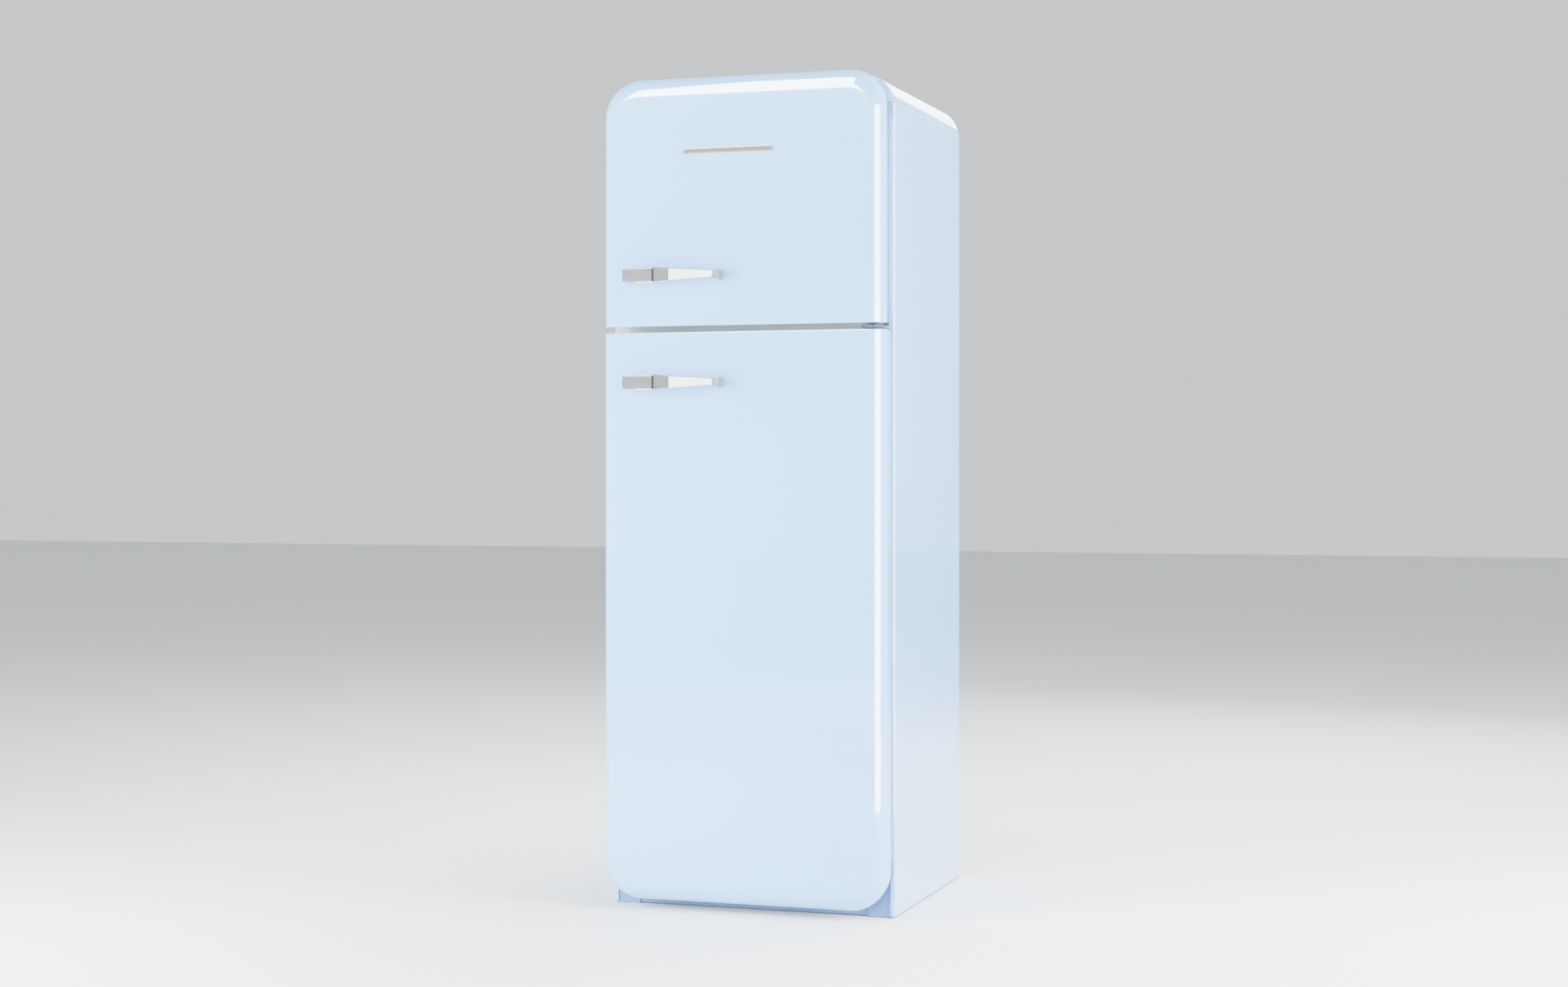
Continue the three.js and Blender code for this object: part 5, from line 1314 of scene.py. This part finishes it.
bm = bmesh.new()
hub_line = in_mm((3, 0), (7, 0.4), (9.6, 1.6), (11, 4), (11, 15), (10.2, 16))
lathe(bm, hub_line, (0, fan_low.y, fan_z), (0, 1, 0), 40)
blade_middle = (fan_low.y + fan_high.y) / 2
for blade in range(4):
    rings = []
    for k in range(9):
        r = 9 * mm + (fan_high.x - 9.6 * mm) * k / 8
        chord = (9 + 9 * sin(pi * (0.18 + 0.52 * k / 8))) * mm * (1 if k < 8 else 0.8)
        pitch = radians(40 - 18 * k / 8)
        sweep = 0.1 * (k / 8) ** 2
        ring = []
        for t, side in [(s / 6, 1) for s in range(7)] + [(s / 6, -1) for s in range(5, 0, -1)]:
            along = (t - 0.5) * chord
            lift = 0.10 * chord * (1 - (2 * t - 1) ** 2) + side * 0.55 * mm * (1 - (2 * t - 1) ** 4)
            across = along * cos(pitch) - lift * sin(pitch)
            y = along * sin(pitch) + lift * cos(pitch)
            a = tau * blade / 4 + sweep + across / r
            ring.append((r * cos(a), blade_middle + y, fan_z + r * sin(a)))
        rings.append(ring)
    part = bmesh.new()
    loft(part, rings)
    join(bm, part)
fit(piece("fan_wheel", bm, grey_plastic, 40), "freezer_fan", "grey_plastic", "freezer_fan")

aluminium, tree = blank_material("pressed_aluminium")
rolled = scaled_noise(tree, 60.0, 4.0, (1, 1, 0.05))
foil = blend(tree, rolled, tint("B9BDBF"), tint("D0D3D4"))
frost = blend(tree, use(tree, dust, Amount=0.6), foil, tint("EEF3F6"))
close(tree, frost, between(tree, rolled, 0.3, 0.5), rolled, 0.02 * mm, Metallic=0.9)

low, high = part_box("evaporator")
FIN = 0.4 * mm
FIN_PITCH = 7 * mm
bm = bmesh.new()
fins = int((high.x - low.x - 30 * mm) / FIN_PITCH)
for k in range(fins + 1):
    x = low.x + 15 * mm + k * FIN_PITCH
    block(bm, (x, low.y + 1 * mm, low.z + 3 * mm), (x + FIN, high.y - 1 * mm, high.z - 3 * mm))
for x in (low.x + 11 * mm, high.x - 12 * mm):
    block(bm, (x, low.y, low.z), (x + 1 * mm, high.y, high.z), 0.3 * mm, 1)
for y in (low.y + 11 * mm, high.y - 11 * mm):
    path = []
    rows = 8
    for k in range(rows):
        z = low.z + 14 * mm + k * (high.z - low.z - 28 * mm) / (rows - 1)
        ends = (low.x + 4 * mm, high.x - 4 * mm)
        path += [(x, y, z) for x in (ends if k % 2 == 0 else ends[::-1])]
    pipe(bm, path, 3.8 * mm, 11 * mm, 8)
fit(piece("evaporator_coil", bm, aluminium, 40), "cabinet", "aluminium", "evaporator")

# Compressor -----------------------------------------------------------------------------------------
# A deep-drawn steel shell in two halves with a welded seam, painted black, on a pressed foot plate over
# four rubber grommets; its terminal box clips to the side.
shell_black, tree = blank_material("black_stove_paint")
mottle = use(tree, handling, Scale=8.0, Streaks=0.5)
coat = blend(tree, mottle, tint("1C1E20"), tint("292C2F"))
bare = blend(tree, use(tree, rim_wear_and_highlight, Radius=0.001, Breakup=0.8), coat, tint("55585B"))
dusty = blend(tree, use(tree, dust, Amount=0.7), bare, tint("6F6E69"))
close(tree, dusty, between(tree, mottle, 0.3, 0.55), use(tree, orange_peel, Scale=260.0), 0.05 * mm)

low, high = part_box("compressor")
can_x, can_y = (low.x + high.x) / 2, (low.y + high.y) / 2
can_low = low.z + 10 * mm
can_radius = (high.y - low.y) / 2
SHELL = [
    (0.2, 0), (0.56, 1.5), (0.78, 8), (0.9, 18), (0.96, 34), (0.965, 86), (0.985, 88),
    (1, 90), (1, 93), (0.98, 95), (0.94, 97), (0.94, 126),
]  # share of the radius, and millimetres up, with the welded seam at 90 to 93
profile = [(share * can_radius, rise * mm) for share, rise in SHELL]
for k in range(1, 9):
    a = pi / 2 * k / 9
    profile.append(((0.34 + 0.6 * cos(a)) * can_radius, 126 * mm + 40 * mm * sin(a)))
profile += [(0.3 * can_radius, 168 * mm), (0.1 * can_radius, 169.8 * mm)]
bm = bmesh.new()
lathe(bm, profile, (can_x, can_y, can_low), (0, 0, 1), 64)
foot_y = 0.8 * can_radius
foot_z = low.z + 6 * mm
foot = outline(low.x, high.x, can_y - foot_y, can_y + foot_y, 18 * mm)
foot_rows = [(foot_z, 0.4 * mm), (foot_z + 0.4 * mm, 0), (foot_z + 2.6 * mm, 0), (foot_z + 3 * mm, 0.4 * mm)]
foot_x = high.x - can_x
rings = []
for z, inset in foot_rows:
    sx, sy = 1 - inset / foot_x, 1 - inset / foot_y
    rings.append([(can_x + (x - can_x) * sx, can_y + (y - can_y) * sy, z) for x, y in foot])
part = bmesh.new()
loft(part, rings)
join(bm, part)
for side in (-1, 1):
    inner, outer = can_x + side * 30 * mm, can_x + side * 56 * mm
    block(bm, (inner, can_y - 40 * mm, foot_z + 1 * mm), (outer, can_y + 40 * mm, can_low + 20 * mm), 4 * mm)
fit(piece("compressor_shell", bm, shell_black, 35), "cabinet", "black_steel", "compressor")

bm = bmesh.new()
grommet = in_mm((9, 0), (10, 0.8), (10, 5), (7.5, 5.8), (7.5, 9.4), (9.4, 10))
grommet += in_mm((9.4, 12.5), (8.4, 13.4), (4, 13.4), (3.6, 12))
for sx in (-1, 1):
    for sy in (-1, 1):
        place = (can_x + sx * (foot_x - 14 * mm), can_y + sy * (foot_y - 14 * mm), low.z)
        lathe(bm, grommet, place, (0, 0, 1), 24)
fit(piece("compressor_grommets", bm, black_rubber), "cabinet", "dark_rubber")

bm = bmesh.new()
box_x = can_x + can_radius - 12 * mm
corner = (box_x, can_y - 24 * mm, can_low + 40 * mm)
block(bm, corner, (box_x + 34 * mm, can_y + 24 * mm, can_low + 100 * mm), 4 * mm)
for k in range(4):
    corner = (box_x + 33.4 * mm, can_y - 16 * mm, can_low + (52 + 12 * k) * mm)
    block(bm, corner, (box_x + 34.6 * mm, can_y + 16 * mm, corner[2] + 4 * mm), 0.6 * mm, 2)
fit(piece("terminal_box", bm, nylon), "cabinet", "grey_plastic")

# The copper-plated pipes: hot gas up to the condenser's top pass, liquid from its bottom pass through
# the filter drier into the capillary tube, and the wider suction pipe back from the foam.
COPPER_BROWN = "B8734F"
copper, tree = blank_material("copper_plate")
tarnish = use(tree, handling, Scale=22.0, Streaks=0.8)
copper_tone = blend(tree, tarnish, tint(COPPER_BROWN), tint("7F4A35"))
dusty = blend(tree, use(tree, dust, Amount=0.4), copper_tone, tint("8A847C"))
close(tree, dusty, between(tree, tarnish, 0.25, 0.5), tarnish, 0.02 * mm, Metallic=0.9)

coil_low, coil_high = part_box("condenser")
tube_y = coil_high.y - 8 * mm
top_z, bottom_z = coil_high.z - 10 * mm, coil_low.z + 10 * mm
side_x = coil_high.x
bm = bmesh.new()
turn_x = side_x + 14 * mm  # where the pipes turn down beside the condenser
riser = [(side_x - 12 * mm, tube_y, top_z), (turn_x, tube_y, top_z), (turn_x, tube_y, 0.235)]
riser += [(0.18, 0.283, 0.185), (0.06, 0.279, 0.165), (can_x + 34 * mm, can_y + 64 * mm, can_low + 112 * mm)]
pipe(bm, riser, 2.4 * mm, 12 * mm)
drop = [(12 * mm - side_x, tube_y, bottom_z), (-turn_x, tube_y, bottom_z)]
drop += [(-turn_x, tube_y, 0.26), (-0.238, 0.275, 0.225)]
pipe(bm, drop, 2.4 * mm, 12 * mm)
drier_top, drier_way = Vector((-0.238, 0.275, 0.23)), Vector((0.05, -0.02, -1)).normalized()
drier = in_mm((2.4, 0), (3, 4), (7, 14), (9.5, 19), (9.5, 90), (7, 96), (2.2, 106), (1.6, 114))
lathe(bm, drier, drier_top, drier_way, 28)
foot_point = drier_top + drier_way * 112 * mm
coils = [(foot_point.x, foot_point.y, foot_point.z - 6 * mm)]
loop_x, loop_z = foot_point.x + 26 * mm, foot_point.z - 4 * mm
for k in range(25):
    a = pi + tau * 2 * k / 24
    coils.append((loop_x + 26 * mm * cos(a), foot_point.y - 2.4 * mm * k / 12, loop_z + 22 * mm * sin(a)))
coils += [(-0.195, foot_point.y - 7 * mm, 0.22), (-0.19, 0.255, 0.282)]
pipe(bm, coils, 1.1 * mm, 3 * mm, 8)
suction = [(0.05, 0.262, 0.283), (0.05, 0.262, 0.2), (0.0, 0.256, 0.15)]
suction.append((can_x + 60 * mm, can_y + 42 * mm, can_low + 74 * mm))
pipe(bm, suction, 4 * mm, 14 * mm, 12)
fit(piece("copper_pipes", bm, copper, 45), "cabinet", "zinc_steel")

# A pressed black tray on top of the compressor, where thaw water dries off.
low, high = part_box("drip_tray")
bm = bmesh.new()
tray(bm, low, high, 4 * mm)
fit(piece("thaw_tray", bm, shell_black), "cabinet", "black_steel", "drip_tray")

# The rubber gland in the niche's ceiling for a power cord.
low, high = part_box("cord_gland")
bm = bmesh.new()
gland_radius = (high.x - low.x) / 2
gland = in_mm((4.1, 0), (5.2, 0), (6.6, 0.8), (6.9, 3), (7.4, 8))
gland += [(gland_radius, 8.6 * mm), (gland_radius, 12.6 * mm), (gland_radius - 1 * mm, 13.6 * mm)]
gland += [(4.1 * mm, 13.7 * mm), gland[0]]
x, y = (low.x + high.x) / 2, (low.y + high.y) / 2
rings = [[(u, v, low.z + along) for u, v in circle(x, y, radius, 32)] for radius, along in gland]
loft(bm, rings, (False, False))
fit(piece("gland", bm, black_rubber, 35), "cabinet", "dark_rubber", "cord_gland")

# Condenser ------------------------------------------------------------------------------------------
# Nine level passes of steel tube bent from one length, with upright wires spot-welded across both its
# sides, all dipped in black paint and held off the back by four sheet brackets.
PASSES = 9
WIRES = 39
WIRE_RADIUS = 0.75 * mm
bm = bmesh.new()
path = []
pass_pitch = (top_z - bottom_z) / (PASSES - 1)
for k in range(PASSES):
    z = bottom_z + k * pass_pitch
    ends = (3 * mm - side_x, side_x - 3 * mm)
    path += [(x, tube_y, z) for x in (ends if k % 2 == 0 else ends[::-1])]
pipe(bm, path, 3 * mm, 16 * mm, 12)
for k in range(WIRES):
    x = 30 * mm - side_x + k * (2 * side_x - 60 * mm) / (WIRES - 1)
    for way in (-1, 1):
        y = tube_y + way * (3 * mm + WIRE_RADIUS - 0.2 * mm)
        pipe(bm, [(x, y, coil_low.z), (x, y, coil_high.z)], WIRE_RADIUS, 1 * mm, 6)
for side in (-1, 1):
    for z in (bottom_z + pass_pitch / 2, top_z - pass_pitch / 2):
        x = side * (side_x - 30 * mm)
        foot_y, crest_y = coil_low.y + 0.6 * mm, tube_y - 2 * mm
        line = [(x - 14 * mm, foot_y), (x - 6 * mm, foot_y), (x - 6 * mm, crest_y)]
        line += [(x + 6 * mm, crest_y), (x + 6 * mm, foot_y), (x + 14 * mm, foot_y)]
        strap = bent(line, 2 * mm, 3)
        rows = [[(p.x, p.y, row) for p in strap] for row in (z - 8 * mm, z + 8 * mm)]
        part = bmesh.new()
        loft(part, rows, (False, False), False)
        bmesh.ops.solidify(part, geom=part.faces[:], thickness=1.1 * mm)
        join(bm, part)
        for way in (-1, 1):
            screw(bm, (x + way * 10.6 * mm, coil_low.y + 1.2 * mm, z), (0, 1, 0), 2.8 * mm)
fit(piece("condenser_coil", bm, shell_black, 45), "cabinet", "black_steel", "condenser")
